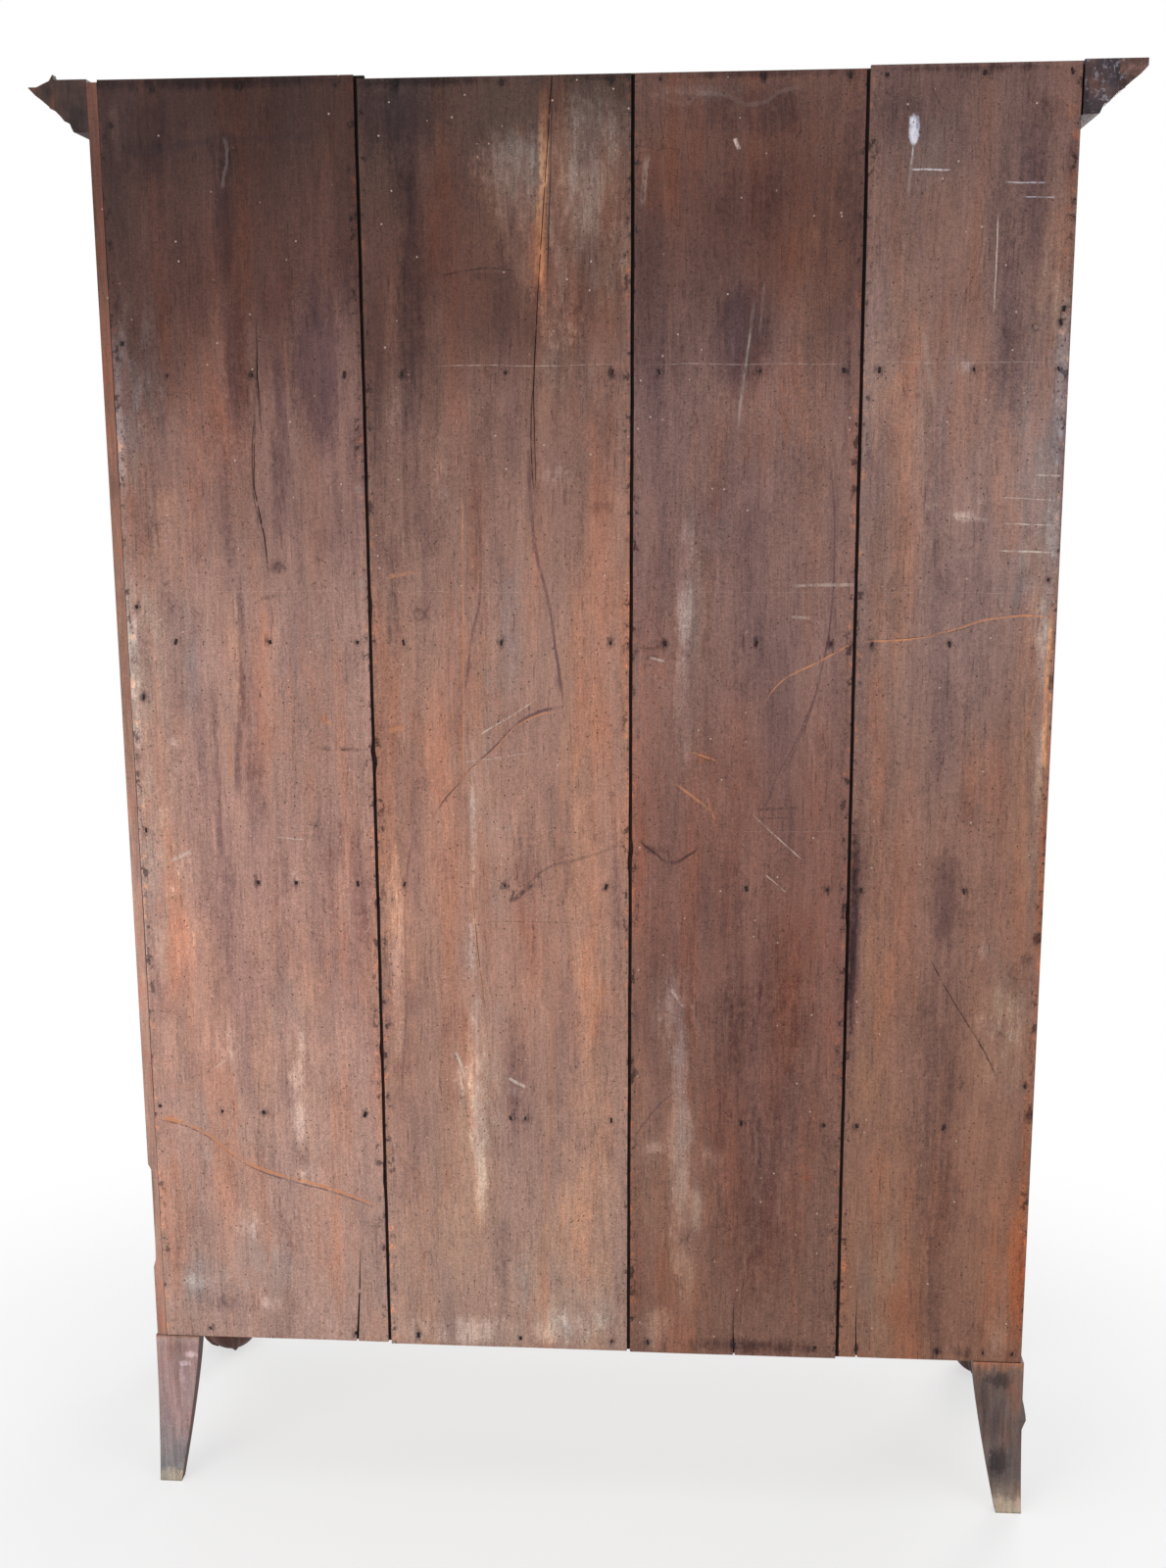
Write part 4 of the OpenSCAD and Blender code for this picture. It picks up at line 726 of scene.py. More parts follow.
def work(piece, name, kind, **settings):
    """One step of shaping, done at once to the piece in hand."""
    step = piece.modifiers.new(name, kind)
    for setting, value in settings.items():
        setattr(step, setting, value)
    bpy.ops.object.modifier_apply(modifier=step.name)


def saw_board(name, edges_top, edges_foot, low, high, laps, splits, worn):
    """A board's shown half, gridded so that it can be worn and stained, and its lapped inner half.

    All in metres, apart from the splits, whose steps are a height, a place and a width in mm."""
    across, upward = 57, 298
    bpy.ops.object.select_all(action="DESELECT")
    bpy.ops.mesh.primitive_grid_add(x_subdivisions=across, y_subdivisions=upward, size=1,
                                    rotation=(math.radians(-90), 0, 0))
    board = bpy.context.object
    bpy.ops.object.transform_apply(location=True, rotation=True, scale=True)
    columns = {}
    for vertex in board.data.vertices:
        share = vertex.co.x + 0.5
        rise = 0.5 + vertex.co.z
        z = low + (high - low) * rise
        first = edges_foot[0] + (edges_top[0] - edges_foot[0]) * rise
        last = edges_foot[1] + (edges_top[1] - edges_foot[1]) * rise
        x = last + (first - last) * share
        for edge, inward, seed in ((first, -1, 1.0), (last, 1, 4.0)):
            near = math.exp(-abs(x - edge) / 0.010)
            ripple = sum(part * math.sin(z * pace + seed * turn)
                         for part, pace, turn in ((1, 8, 1), (0.7, 27, 3), (0.5, 71, 7)))
            wear = 0.00035 * (2.2 + ripple) / 2
            for side, middle, tall, deep in worn:
                if side == inward:
                    wear += deep * math.exp(-((z - middle) / tall) ** 2)
            x += inward * near * wear
        bow = 0.5 + 0.25 * math.sin(x * 17 + z * 3.1) + 0.25 * math.sin(x * 41 - z * 7.3)
        columns[vertex.index] = (round(share * across), round(rise * upward))
        vertex.co = (x, CASE_BACK - HOLLOW * bow, z)
    bpy.context.view_layer.update()
    grid = {place: index for index, place in columns.items()}
    cells = set()
    for path in splits:
        heights, places, widths = zip(*path)
        for row in range(upward + 1):
            z = board.data.vertices[grid[(0, row)]].co.z * 1000
            if not heights[0] <= z <= heights[-1]:
                continue
            middle = -np.interp(z, heights, places) / 1000
            open_w = np.interp(z, heights, widths) / 1000
            at = [board.data.vertices[grid[(column, row)]].co for column in range(across + 1)]
            column = min(range(across), key=lambda c: abs(at[c].x + at[c + 1].x - 2 * middle))
            cells.add((column, row))
            at[column].x = middle - open_w / 2
            at[column + 1].x = middle + open_w / 2
    if cells:
        bpy.ops.object.mode_set(mode="EDIT")
        bpy.ops.mesh.select_mode(type="FACE")
        bpy.ops.object.mode_set(mode="OBJECT")
        for face in board.data.polygons:
            spots = [columns[index] for index in face.vertices]
            corner = (min(c for c, r in spots), min(r for c, r in spots))
            face.select = corner in cells and (corner[0], corner[1] + 1) in cells
        bpy.ops.object.mode_set(mode="EDIT")
        bpy.ops.mesh.delete(type="ONLY_FACE")
        bpy.ops.object.mode_set(mode="OBJECT")
    work(board, "thickness", "SOLIDIFY", thickness=SHOWN_HALF, offset=-1)
    work(board, "worn_edge", "BEVEL", width=0.0007, segments=2, limit_method="ANGLE",
         angle_limit=math.radians(55))

    bpy.ops.object.select_all(action="DESELECT")
    bpy.ops.mesh.primitive_cube_add(size=1)
    inner = bpy.context.object
    for vertex in inner.data.vertices:
        high_end = vertex.co.z > 0
        edges = edges_top if high_end else edges_foot
        vertex.co = (edges[0] - laps[0] if vertex.co.x > 0 else edges[1] - laps[1],
                     BOARD_INSIDE if vertex.co.y < 0 else CASE_BACK - LAP_FACE, high if high_end else low)
    work(inner, "lap_edge", "BEVEL", width=0.0006)
    board.select_set(True)
    bpy.context.view_layer.objects.active = board
    bpy.ops.object.join()
    board.name = name
    bpy.ops.object.shade_smooth_by_angle(angle=math.radians(30))
    return board


def add_layer(board, name, values):
    board.data.attributes.new(name, "FLOAT", "POINT").data.foreach_set("value", values.astype(np.float32))


def lay_board(replaced, board, finish, patches):
    """Stains a sawn board in its patches, near its edges and round its nails, and fixes it."""
    spots = np.empty(len(board.data.vertices) * 3)
    board.data.vertices.foreach_get("co", spots)
    spots = spots.reshape(-1, 3)
    outside = spots[:, 1] > CASE_BACK - LAP_FACE - 0.0002
    shown = spots[spots[:, 1] > CASE_BACK - 2 * HOLLOW, 0] * -1000
    spots = spots[:, [0, 2]] * (-1000, 1000)
    for kind in STAINS:
        add_layer(board, "stain_" + kind, stain(spots, patches.get(kind, [])))
    edge = np.minimum(spots[:, 0] - shown.min(), shown.max() - spots[:, 0])
    add_layer(board, "near_edge", np.exp(-np.maximum(edge, 0) / EDGE_REACH) * outside)
    halo = np.zeros(len(spots))
    for x, z in nails:
        reach = np.hypot(spots[:, 0] + x * 1000, 0.7 * (spots[:, 1] - z * 1000))
        halo = np.maximum(halo, 0.85 * np.exp(-((reach / RUST_REACH) ** 2)))
    add_layer(board, "nail_halo", halo)
    board.data.materials.clear()
    board.data.materials.append(finish)
    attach(board, "case")
    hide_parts(replaced)


first_finish = old_board("first_board_wood", 1.0, [
    (2010, (61, 41, 37)), (1760, (82, 54, 47)), (1540, (130, 98, 89)), (1300, (153, 120, 109)),
    (900, (168, 129, 115)), (300, (167, 135, 123))
], {
    "dark": [("across", [(-600, 1930), (-540, 1934), (-470, 1944), (-400, 1944), (-330, 1950)], 7, 0.45),
             (-372, 1139, -298, 1137, 4, 0.5), (-440, 1345, -412, 1352, 3, 0.4)],
    "deep": [("down", [(1060, -482), (1111, -478), (1200, -470), (1304, -464), (1380, -468)], 7, 0.6),
             ("across", [(-632, 587), (-585, 577), (-545, 559), (-515, 534), (-485, 514), (-435, 496),
                         (-375, 482), (-325, 464), (-292, 450)], 1.6, 0.8),
             ("down", [(980, -510), (1100, -512), (1240, -508)], 9, 0.45),
             ("down", [(1500, -392), (1640, -396), (1800, -402)], 8, 0.4)],
    "pale": [(-584, 974, -548, 990, 3, 0.5), (-430, 1012, -385, 1008, 1.2, 0.5),
             (-540, 660, -500, 690, 1.5, 0.4), (-620, 1356, -300, 1357, 0.9, 0.12),
             (-560, 1028, -330, 1026, 0.8, 0.12), (-570, 604, -310, 603, 0.8, 0.12)],
    "grey": [("down", [(1880, -466), (1900, -462), (1925, -457), (1950, -462)], 3, 0.2),
             (-625, 1500, -627, 620, 2.5, 0.5), (-300, 1500, -292, 1488, 7, 0.6),
             (-302, 1372, -292, 1360, 7, 0.6), (-302, 1160, -290, 1150, 6, 0.6)],
    "cut": [("down", [(1560, -425), (1645, -429), (1725, -424)], 1.0, 0.7),
            ("down", [(1370, -424), (1430, -428), (1500, -441), (1600, -433)], 1.2, 0.75),
            ("down", [(1870, -468), (1900, -474), (1945, -463)], 1.2, 0.8),
            ("down", [(1880, -448), (1915, -443), (1950, -452)], 1.0, 0.7),
            (-445, 1222, -443, 1208, 1.2, 0.9)],
    "orange": [("across", [(-638, 592), (-590, 582), (-550, 565), (-520, 540), (-490, 520), (-440, 502),
                           (-380, 488), (-330, 470), (-290, 455)], 3.0, 0.95),
               ("down", [(575, -494), (620, -505), (665, -511)], 1.6, 0.5), (-636, 640, -560, 636, 1.5, 0.4),
               ("down", [(1090, -491), (1130, -489), (1175, -493)], 3.5, 0.5),
               (-352, 1178, -340, 1170, 4, 0.7)],
})
second_finish = old_board("second_board_wood", 2.0, [
    (2010, (74, 55, 49)), (1760, (86, 58, 50)), (1540, (124, 93, 83)), (1300, (147, 113, 100)),
    (900, (155, 117, 102)), (300, (158, 127, 113))
], {
    "deep": [("down", [(1190, -160), (1300, -145), (1390, -132), (1550, -145), (1770, -151)], 2.6, 0.55),
             ("down", [(1195, -19), (1270, -30), (1340, -40), (1430, -60), (1550, -66)], 3.0, 0.75),
             ("across", [(-208, 1038), (-170, 1090), (-120, 1140), (-75, 1182), (-18, 1200)], 3.4, 0.8),
             ("down", [(600, -262), (760, -250), (940, -246), (1040, -212)], 2.4, 0.4)],
    "dark": [("across", [(-100, 918), (-80, 940), (-40, 975), (0, 985), (60, 1008)], 3, 0.4),
             (-97, 921, -63, 951, 4, 0.7), (-97, 921, -92, 940, 3, 0.7)],
    "orange": [("down", [(1742, -51), (1850, -46), (1940, -42), (2014, -40)], 9, 0.15),
               ("down", [(1040, -164), (1250, -158), (1500, -156)], 1.5, 0.6),
               ("down", [(765, -136), (850, -145), (955, -153)], 1.5, 0.6),
               ("across", [(-196, 1062), (-160, 1101), (-118, 1139), (-80, 1176), (-30, 1194)], 1.5, 0.8),
               (-262, 1376, -216, 1382, 4, 0.5), (-268, 1164, -240, 1170, 5, 0.5)],
    "warm": [("down", [(250, -60), (600, -45), (1000, -28), (1190, -18)], 7, 0.35)],
    "pale": [(-145, 1155, -55, 1210, 1.4, 0.6), (-170, 1120, -60, 1135, 1.0, 0.45),
             (-280, 1356, 60, 1355, 0.9, 0.12), (-270, 1028, 50, 1026, 0.8, 0.12),
             (-200, 1655, 60, 1654, 0.9, 0.35), (-270, 604, 50, 603, 0.8, 0.12),
             ("down", [(500, -150), (600, -152), (700, -148), (800, -150)], 4, 0.25),
             (-180, 700, -165, 655, 3, 0.8), (-105, 662, -78, 646, 3, 0.7)],
    "cut": [("across", [(-182, 1768), (-150, 1775), (-112, 1778), (-78, 1770)], 1.8, 0.6),
            ("down", [(1480, -57), (1560, -62), (1640, -57), (1745, -51)], 1.3, 0.85),
            ("down", [(1745, -39), (1850, -35), (1950, -31), (2014, -29)], 1.2, 0.85),
            (60, 1700, 48, 1490, 0.9, 0.5), (-145, 893, 0, 893, 0.9, 0.4)],
})
third_finish = old_board("third_board_wood", 3.0, [
    (2010, (95, 67, 59)), (1800, (88, 60, 53)), (1560, (122, 93, 86)), (1330, (129, 98, 90)),
    (1000, (122, 86, 76)), (300, (124, 90, 77))
], {
    "grey": [("across", [(84, 1992), (110, 1986), (140, 1978), (160, 1990), (190, 1988), (225, 1976),
                         (260, 1990), (300, 1998)], 4, 0.12),
             (232, 1742, 212, 1560, 2.4, 0.7), (246, 1760, 238, 1690, 2.0, 0.4),
             (86, 1850, 92, 1920, 5, 0.4)],
    "pale": [(204, 1936, 210, 1920, 3.5, 0.9), (285, 1364, 374, 1366, 3.0, 0.35),
             (285, 1323, 316, 1321, 2.6, 0.3), (238, 1053, 310, 985, 1.1, 0.7),
             (255, 968, 288, 940, 1.0, 0.6), (80, 1356, 368, 1355, 0.8, 0.12),
             (80, 1655, 368, 1653, 0.8, 0.3), (200, 1028, 368, 1027, 0.8, 0.12),
             (128, 800, 146, 770, 3.0, 0.5), (95, 1268, 118, 1262, 2.0, 0.5)],
    "deep": [("down", [(1030, 250), (1100, 270), (1160, 300), (1250, 328), (1340, 341), (1500, 338),
                       (1556, 322)], 1.6, 0.85),
             ("down", [(575, 78), (600, 92), (632, 118), (655, 150)], 2.2, 0.7)],
    "dark": [("across", [(80, 1016), (105, 995), (128, 982), (150, 992), (168, 1006)], 3.6, 0.75),
             (240, 1058, 305, 1061, 3.0, 0.55), (240, 1046, 300, 1047, 2.0, 0.4)],
    "orange": [("across", [(245, 1180), (270, 1230), (330, 1265), (372, 1290)], 1.6, 0.85),
               (150, 1139, 192, 1124, 2.4, 0.6), (132, 1094, 190, 1052, 2.2, 0.6),
               (176, 1080, 188, 1040, 1.8, 0.5)],
    "cut": [("down", [(1100, 274), (1160, 303), (1250, 331)], 0.9, 0.6), (152, 1137, 190, 1122, 0.9, 0.6)],
})
fourth_finish = old_board("fourth_board_wood", 4.0, [
    (2010, (108, 81, 74)), (1800, (120, 92, 84)), (1560, (135, 109, 102)), (1330, (133, 105, 97)),
    (1000, (131, 97, 84)), (300, (132, 95, 78))
], {
    "deep": [(380, 955, 384, 845, 4, 0.7), ("down", [(1100, 440), (1300, 452), (1500, 446)], 5, 0.3)],
    "white": [(428, 1960, 431, 1922, 5.5, 0.95), (430, 1922, 428, 1898, 1.2, 0.5),
              (426, 1894, 480, 1892, 1.3, 0.7), (545, 1877, 601, 1875, 1.2, 0.6),
              (570, 1859, 615, 1857, 1.0, 0.5)],
    "pale": [(540, 1842, 539, 1708, 1.2, 0.8), (600, 1511, 636, 1509, 1.3, 0.9),
             (555, 1481, 632, 1478, 0.9, 0.6), (560, 1447, 634, 1445, 1.1, 0.7),
             (556, 1411, 634, 1409, 1.4, 0.9), (490, 1462, 545, 1450, 2.4, 0.3),
             (380, 1356, 620, 1355, 0.8, 0.12), (380, 1655, 620, 1653, 0.8, 0.3)],
    "grey": [(450, 1700, 470, 1590, 4, 0.3), (430, 1920, 426, 1860, 3, 0.3)],
    "orange": [("across", [(372, 1290), (440, 1293), (500, 1305), (560, 1322), (600, 1325),
                           (635, 1318)], 1.7, 0.8),
               ("down", [(1100, 634), (1200, 628), (1300, 630), (1340, 634)], 4, 0.7),
               (618, 1250, 600, 1140, 1.6, 0.5)],
    "cut": [("down", [(670, 588), (710, 570), (790, 520), (855, 484)], 1.3, 0.8),
            ("across", [(400, 1293), (470, 1298), (540, 1316)], 0.8, 0.6), (497, 1282, 498, 1180, 1.2, 0.5),
            ("down", [(1600, 500), (1700, 492), (1800, 520), (1870, 512)], 0.9, 0.4)],
})
first_board = saw_board("first_board", (0.626, 0.287), (0.626, 0.289), 0.242, 2.021, (0, 0.013), [
    [(240, -336, 3.4), (330, -330, 1.8), (396, -327, 0.5)],
    [(1392, -424, 0.4), (1430, -428, 1.6), (1500, -440, 1.4), (1590, -434, 0.4)],
    [(1590, -425, 0.4), (1645, -429, 1.3), (1700, -426, 0.4)]
], [(1, 1.135, 0.008, 0.002), (1, 0.7, 0.01, 0.0015), (1, 0.5, 0.02, 0.001)])
second_board = saw_board("second_board", (0.283, -0.072), (0.285, -0.066), 0.24, 2.016, (0.0095, 0.013), [
    [(1500, -56, 0.4), (1620, -58, 1.1), (1745, -51, 0.9), (2017, -30, 1.2)],
    [(765, -136, 0.3), (850, -145, 0.9), (955, -153, 0.3)]
], [(-1, 1.12, 0.01, 0.0025), (-1, 1.336, 0.012, 0.0015), (1, 0.98, 0.012, 0.0015)])
third_board = saw_board("third_board", (-0.076, -0.37), (-0.07, -0.371), 0.239, 2.016, (0.0095, 0.013), [
    [(238, 223, 2.0), (290, 221, 1.0), (322, 222, 0.4)]
], [(-1, 1.0, 0.01, 0.002), (1, 0.91, 0.012, 0.0015)])
fourth_board = saw_board("fourth_board", (-0.374, -0.638), (-0.375, -0.638), 0.242, 2.02, (0.0095, 0), [
    [(240, 401, 2.4), (290, 399, 1.2), (336, 400, 0.4)],
    [(676, 586, 0.3), (720, 563, 1.0), (800, 514, 0.9), (850, 486, 0.3)]
], [(1, 1.24, 0.015, 0.0012), (1, 0.62, 0.012, 0.0015)])
# The wide, low 'dark' patches at about 2013 mm darken each board's top end, and the one at 254 mm darkens the
# third board's foot.
lay_board("back_board_1", first_board, first_finish, {
    "warm": [(-575, 1110, 26, 90, 0.15), (-380, 1180, 60, 160, 0.4), (-320, 900, 50, 220, 0.4),
             (-480, 1640, 36, 200, 0.55), (-440, 1780, 12, 90, 0.6), (-393, 1974, 30, 50, 0.6),
             (-430, 1250, 30, 120, 0.4), (-380, 420, 90, 120, 0.35), (-610, 420, 24, 160, 0.5),
             (-520, 1560, 20, 190, 0.5)],
    "light": [(-600, 1240, 34, 300, 0.9), (-560, 1420, 30, 120, 0.7), (-560, 820, 60, 180, 0.6),
              (-440, 680, 60, 160, 0.6), (-387, 821, 40, 80, 0.9), (-332, 1908, 20, 60, 0.8),
              (-473, 1258, 16, 80, 0.7)],
    "deep": [(-456, 1120, 16, 260, 0.5), (-510, 900, 26, 150, 0.4), (-556, 1948, 38, 70, 0.75),
             (-393, 1974, 26, 44, 0.4), (-345, 1660, 36, 110, 0.95), (-300, 1830, 24, 160, 0.5),
             (-430, 900, 24, 200, 0.35), (-350, 1310, 18, 90, 0.3), (-460, 1660, 18, 120, 0.7),
             (-464, 1840, 18, 90, 0.8), (-405, 1560, 14, 150, 0.6), (-310, 940, 20, 110, 0.65),
             (-340, 1010, 14, 60, 0.5), (-480, 1460, 12, 120, 0.5), (-430, 420, 26, 90, 0.4),
             (-530, 300, 50, 26, 0.5)],
    "dark": [(-465, 1925, 30, 34, 0.5), (-410, 1390, 15, 12, 0.6), (-560, 1935, 36, 12, 0.5),
             (-460, 2015, 180, 9, 0.75)],
    "grey": [(-618, 1389, 22, 380, 1.0), (-596, 1640, 44, 130, 1.0), (-600, 1180, 30, 420, 0.9),
             (-463, 1905, 20, 46, 0.5), (-560, 330, 50, 40, 0.9), (-540, 560, 50, 80, 0.5),
             (-470, 360, 60, 50, 0.6), (-550, 1264, 26, 90, 0.8), (-430, 760, 40, 90, 0.5),
             (-590, 300, 40, 40, 0.5)],
    "bare": [(-606, 1968, 7, 28, 0.9), (-602, 1936, 6, 20, 0.6)],
    "pale": [(-630, 1000, 8, 420, 0.6), (-592, 1806, 14, 26, 0.35), (-614, 1316, 10, 14, 0.9),
             (-625, 1420, 12, 330, 0.85), (-592, 1667, 34, 90, 0.75), (-570, 330, 26, 14, 0.6),
             (-470, 300, 22, 12, 0.5), (-540, 280, 16, 10, 0.6), (-567, 1146, 9, 9, 0.7),
             (-567, 1107, 7, 8, 0.6), (-556, 962, 20, 28, 0.4), (-584, 932, 10, 12, 0.5),
             (-410, 618, 13, 66, 0.9), (-416, 650, 9, 20, 0.95), (-402, 700, 8, 40, 0.5),
             (-404, 952, 8, 10, 0.75), (-560, 860, 30, 50, 0.25), (-520, 700, 24, 40, 0.5),
             (-500, 430, 30, 30, 0.5), (-400, 505, 20, 20, 0.5)],
    "orange": [(-600, 585, 24, 8, 0.5), (-356, 1180, 8, 6, 0.7), (-611, 1035, 7, 40, 0.3)],
})
lay_board("back_board_2", second_board, second_finish, {
    "warm": [(-210, 1080, 40, 160, 0.4), (-240, 420, 30, 180, 0.35), (0, 420, 50, 160, 0.3)],
    "light": [(6, 880, 34, 440, 0.9), (10, 420, 50, 240, 0.8), (0, 1260, 26, 160, 0.6),
              (72, 1300, 12, 260, 0.9), (72, 1830, 16, 120, 1.0), (-150, 560, 40, 240, 0.6),
              (-6, 1820, 80, 140, 1.0), (-90, 1850, 50, 90, 1.0), (-34, 1680, 40, 110, 0.8),
              (-258, 800, 24, 260, 1.0), (-190, 430, 30, 120, 0.6), (-40, 370, 36, 130, 0.7)],
    "deep": [(-228, 1968, 56, 60, 0.75), (-218, 1760, 16, 240, 0.65), (-92, 660, 18, 90, 0.6),
             (-72, 942, 18, 130, 0.45), (-250, 1350, 16, 120, 0.4), (40, 1600, 26, 100, 0.3),
             (-120, 390, 20, 90, 0.4), (50, 930, 10, 160, 0.5), (-268, 1540, 8, 160, 0.4)],
    "dark": [(-232, 1700, 7, 260, 0.35), (-60, 1560, 8, 120, 0.35), (-230, 1920, 34, 90, 0.3),
             (-125, 1768, 46, 7, 0.35), (30, 1470, 20, 12, 0.5), (-200, 2012, 90, 8, 0.8),
             (30, 2013, 60, 6, 0.5)],
    "grey": [(-75, 1905, 40, 60, 0.9), (20, 1860, 60, 120, 1.0), (-10, 1650, 40, 60, 0.6),
             (-140, 1180, 26, 160, 0.7), (-120, 980, 30, 110, 0.5), (-145, 700, 40, 200, 0.7),
             (-10, 300, 60, 50, 0.9), (-90, 1300, 24, 140, 0.5), (-60, 340, 60, 60, 0.6)],
    "pale": [(-20, 1830, 80, 120, 0.95), (-50, 1910, 80, 40, 0.8), (24, 1925, 36, 70, 0.9),
             (20, 1975, 34, 30, 0.7), (-28, 1740, 30, 120, 0.55), (-148, 1085, 10, 90, 0.7),
             (-150, 900, 8, 120, 0.55), (-150, 720, 12, 80, 0.8), (-168, 660, 15, 22, 1.0),
             (-148, 600, 13, 70, 0.9), (-145, 500, 10, 60, 0.7), (-92, 640, 13, 10, 0.75),
             (-140, 264, 130, 24, 0.85), (-10, 285, 46, 22, 0.7), (-30, 1510, 30, 14, 0.4),
             (-160, 1460, 14, 20, 0.4), (-244, 1640, 14, 110, 0.5), (-184, 1510, 14, 90, 0.45)],
    "bare": [(-262, 850, 14, 160, 0.6), (70, 1850, 18, 120, 0.9), (16, 1895, 74, 80, 1.0),
             (-80, 1895, 48, 60, 0.9), (-20, 1740, 36, 80, 0.5)],
    "orange": [(-49, 1790, 15, 64, 0.7), (-42, 1920, 14, 100, 0.35), (20, 765, 44, 70, 0.35),
               (-70, 1950, 14, 12, 0.5)],
    "cut": [(14, 790, 26, 40, 0.28)],
})
lay_board("back_board_3", third_board, third_finish, {
    "warm": [(105, 1880, 22, 60, 0.6), (100, 1200, 26, 240, 0.45), (250, 420, 60, 120, 0.45),
             (110, 900, 20, 60, 0.4), (330, 1100, 26, 160, 0.35), (270, 1860, 90, 150, 0.5),
             (250, 1600, 70, 100, 0.45), (290, 800, 60, 200, 0.4)],
    "light": [(110, 1890, 30, 80, 0.9), (150, 1300, 30, 200, 0.6), (104, 600, 34, 280, 0.9),
              (150, 420, 40, 160, 0.9), (316, 1796, 42, 70, 0.95), (313, 1640, 32, 240, 0.9),
              (291, 780, 32, 130, 0.8)],
    "deep": [(260, 600, 70, 330, 0.6), (216, 1690, 44, 70, 0.9), (230, 1860, 60, 60, 0.45),
             (120, 1640, 34, 90, 0.5), (355, 1880, 14, 120, 0.5), (230, 1300, 30, 160, 0.3),
             (200, 930, 50, 80, 0.45), (215, 600, 40, 140, 0.5), (220, 1968, 100, 34, 0.55)],
    "dark": [(355, 1700, 8, 240, 0.3), (250, 560, 12, 260, 0.3), (150, 1750, 30, 24, 0.35),
             (110, 1000, 24, 10, 0.4), (235, 770, 60, 50, 0.3), (220, 2013, 160, 6, 0.6),
             (250, 254, 110, 13, 0.6)],
    "grey": [(165, 1992, 60, 12, 0.8), (150, 1300, 20, 180, 0.8), (180, 1440, 40, 40, 0.5),
             (130, 730, 40, 110, 0.8), (150, 500, 34, 160, 0.7), (104, 560, 30, 240, 0.5)],
    "pale": [(142, 1330, 12, 60, 0.9), (139, 1230, 10, 50, 0.85), (143, 1165, 14, 40, 0.7),
             (146, 1420, 10, 50, 0.65), (145, 1130, 14, 16, 0.6), (140, 760, 26, 60, 0.95),
             (140, 680, 15, 100, 0.85), (142, 590, 18, 60, 1.0), (107, 560, 12, 9, 0.9),
             (188, 545, 20, 16, 0.7), (150, 460, 22, 110, 0.9), (110, 276, 26, 36, 0.9),
             (205, 1710, 7, 60, 0.6), (150, 1993, 60, 7, 0.7), (165, 1972, 7, 22, 0.5),
             (228, 1968, 6, 20, 0.5), (316, 1800, 30, 50, 0.4)],
    "orange": [(170, 1130, 22, 8, 0.45), (322, 520, 10, 8, 0.6), (315, 535, 8, 6, 0.5)],
})
lay_board("back_board_4", fourth_board, fourth_finish, {
    "warm": [(604, 400, 36, 200, 0.55), (400, 1100, 24, 160, 0.3), (560, 900, 40, 120, 0.3),
             (420, 500, 36, 100, 0.3), (620, 1750, 14, 160, 0.5), (440, 1650, 26, 60, 0.4)],
    "light": [(430, 1500, 40, 320, 0.8), (415, 760, 26, 160, 0.9), (440, 460, 40, 200, 0.7),
              (470, 1850, 40, 90, 0.5), (611, 1190, 26, 300, 1.0), (577, 740, 56, 90, 0.8),
              (613, 1755, 24, 100, 0.9)],
    "deep": [(382, 880, 9, 150, 0.9), (410, 1958, 50, 40, 0.5), (628, 1900, 8, 40, 0.5),
             (582, 1890, 22, 110, 0.6), (505, 560, 40, 330, 0.5), (470, 1500, 30, 160, 0.35),
             (560, 1650, 26, 90, 0.5), (590, 1350, 20, 40, 0.4), (500, 1180, 24, 110, 0.5),
             (505, 940, 26, 90, 0.6), (545, 1800, 20, 120, 0.45), (630, 380, 6, 100, 0.4)],
    "dark": [(380, 900, 6, 140, 0.8), (600, 1960, 24, 24, 0.4), (632, 1240, 7, 9, 0.9), (632, 880, 7, 9, 0.9),
             (633, 620, 7, 10, 0.9), (620, 850, 9, 9, 0.6), (552, 254, 14, 12, 0.6),
             (505, 2014, 130, 6, 0.6)],
    "grey": [(618, 1560, 22, 220, 1.0), (624, 1200, 14, 460, 0.9), (600, 760, 34, 160, 0.7),
             (580, 1375, 24, 50, 0.8), (600, 1560, 34, 160, 0.6), (450, 1920, 60, 60, 0.5),
             (500, 1655, 26, 16, 0.5), (429, 370, 34, 130, 0.9), (620, 700, 14, 120, 0.4),
             (565, 863, 9, 9, 0.7), (624, 664, 8, 10, 0.8), (480, 1280, 60, 50, 0.3),
             (600, 480, 24, 40, 0.4)],
    "pale": [(628, 1640, 9, 120, 0.7), (626, 1300, 10, 330, 0.65), (612, 1300, 16, 60, 0.6),
             (560, 860, 8, 20, 0.5), (601, 291, 16, 50, 0.8), (585, 740, 40, 70, 0.45),
             (504, 1648, 14, 8, 0.7), (516, 1456, 26, 7, 0.8), (530, 1475, 4, 4, 1.0),
             (600, 1350, 12, 30, 0.5), (470, 1470, 14, 6, 0.5), (613, 1755, 18, 80, 0.35)],
    "orange": [(634, 1100, 6, 300, 0.7), (632, 1330, 6, 20, 0.6), (626, 400, 12, 140, 1.0),
               (631, 600, 7, 160, 0.6), (630, 1850, 6, 90, 0.5), (626, 1960, 8, 12, 0.5)],
    "white": [(430, 1942, 7, 19, 1.0)],
})


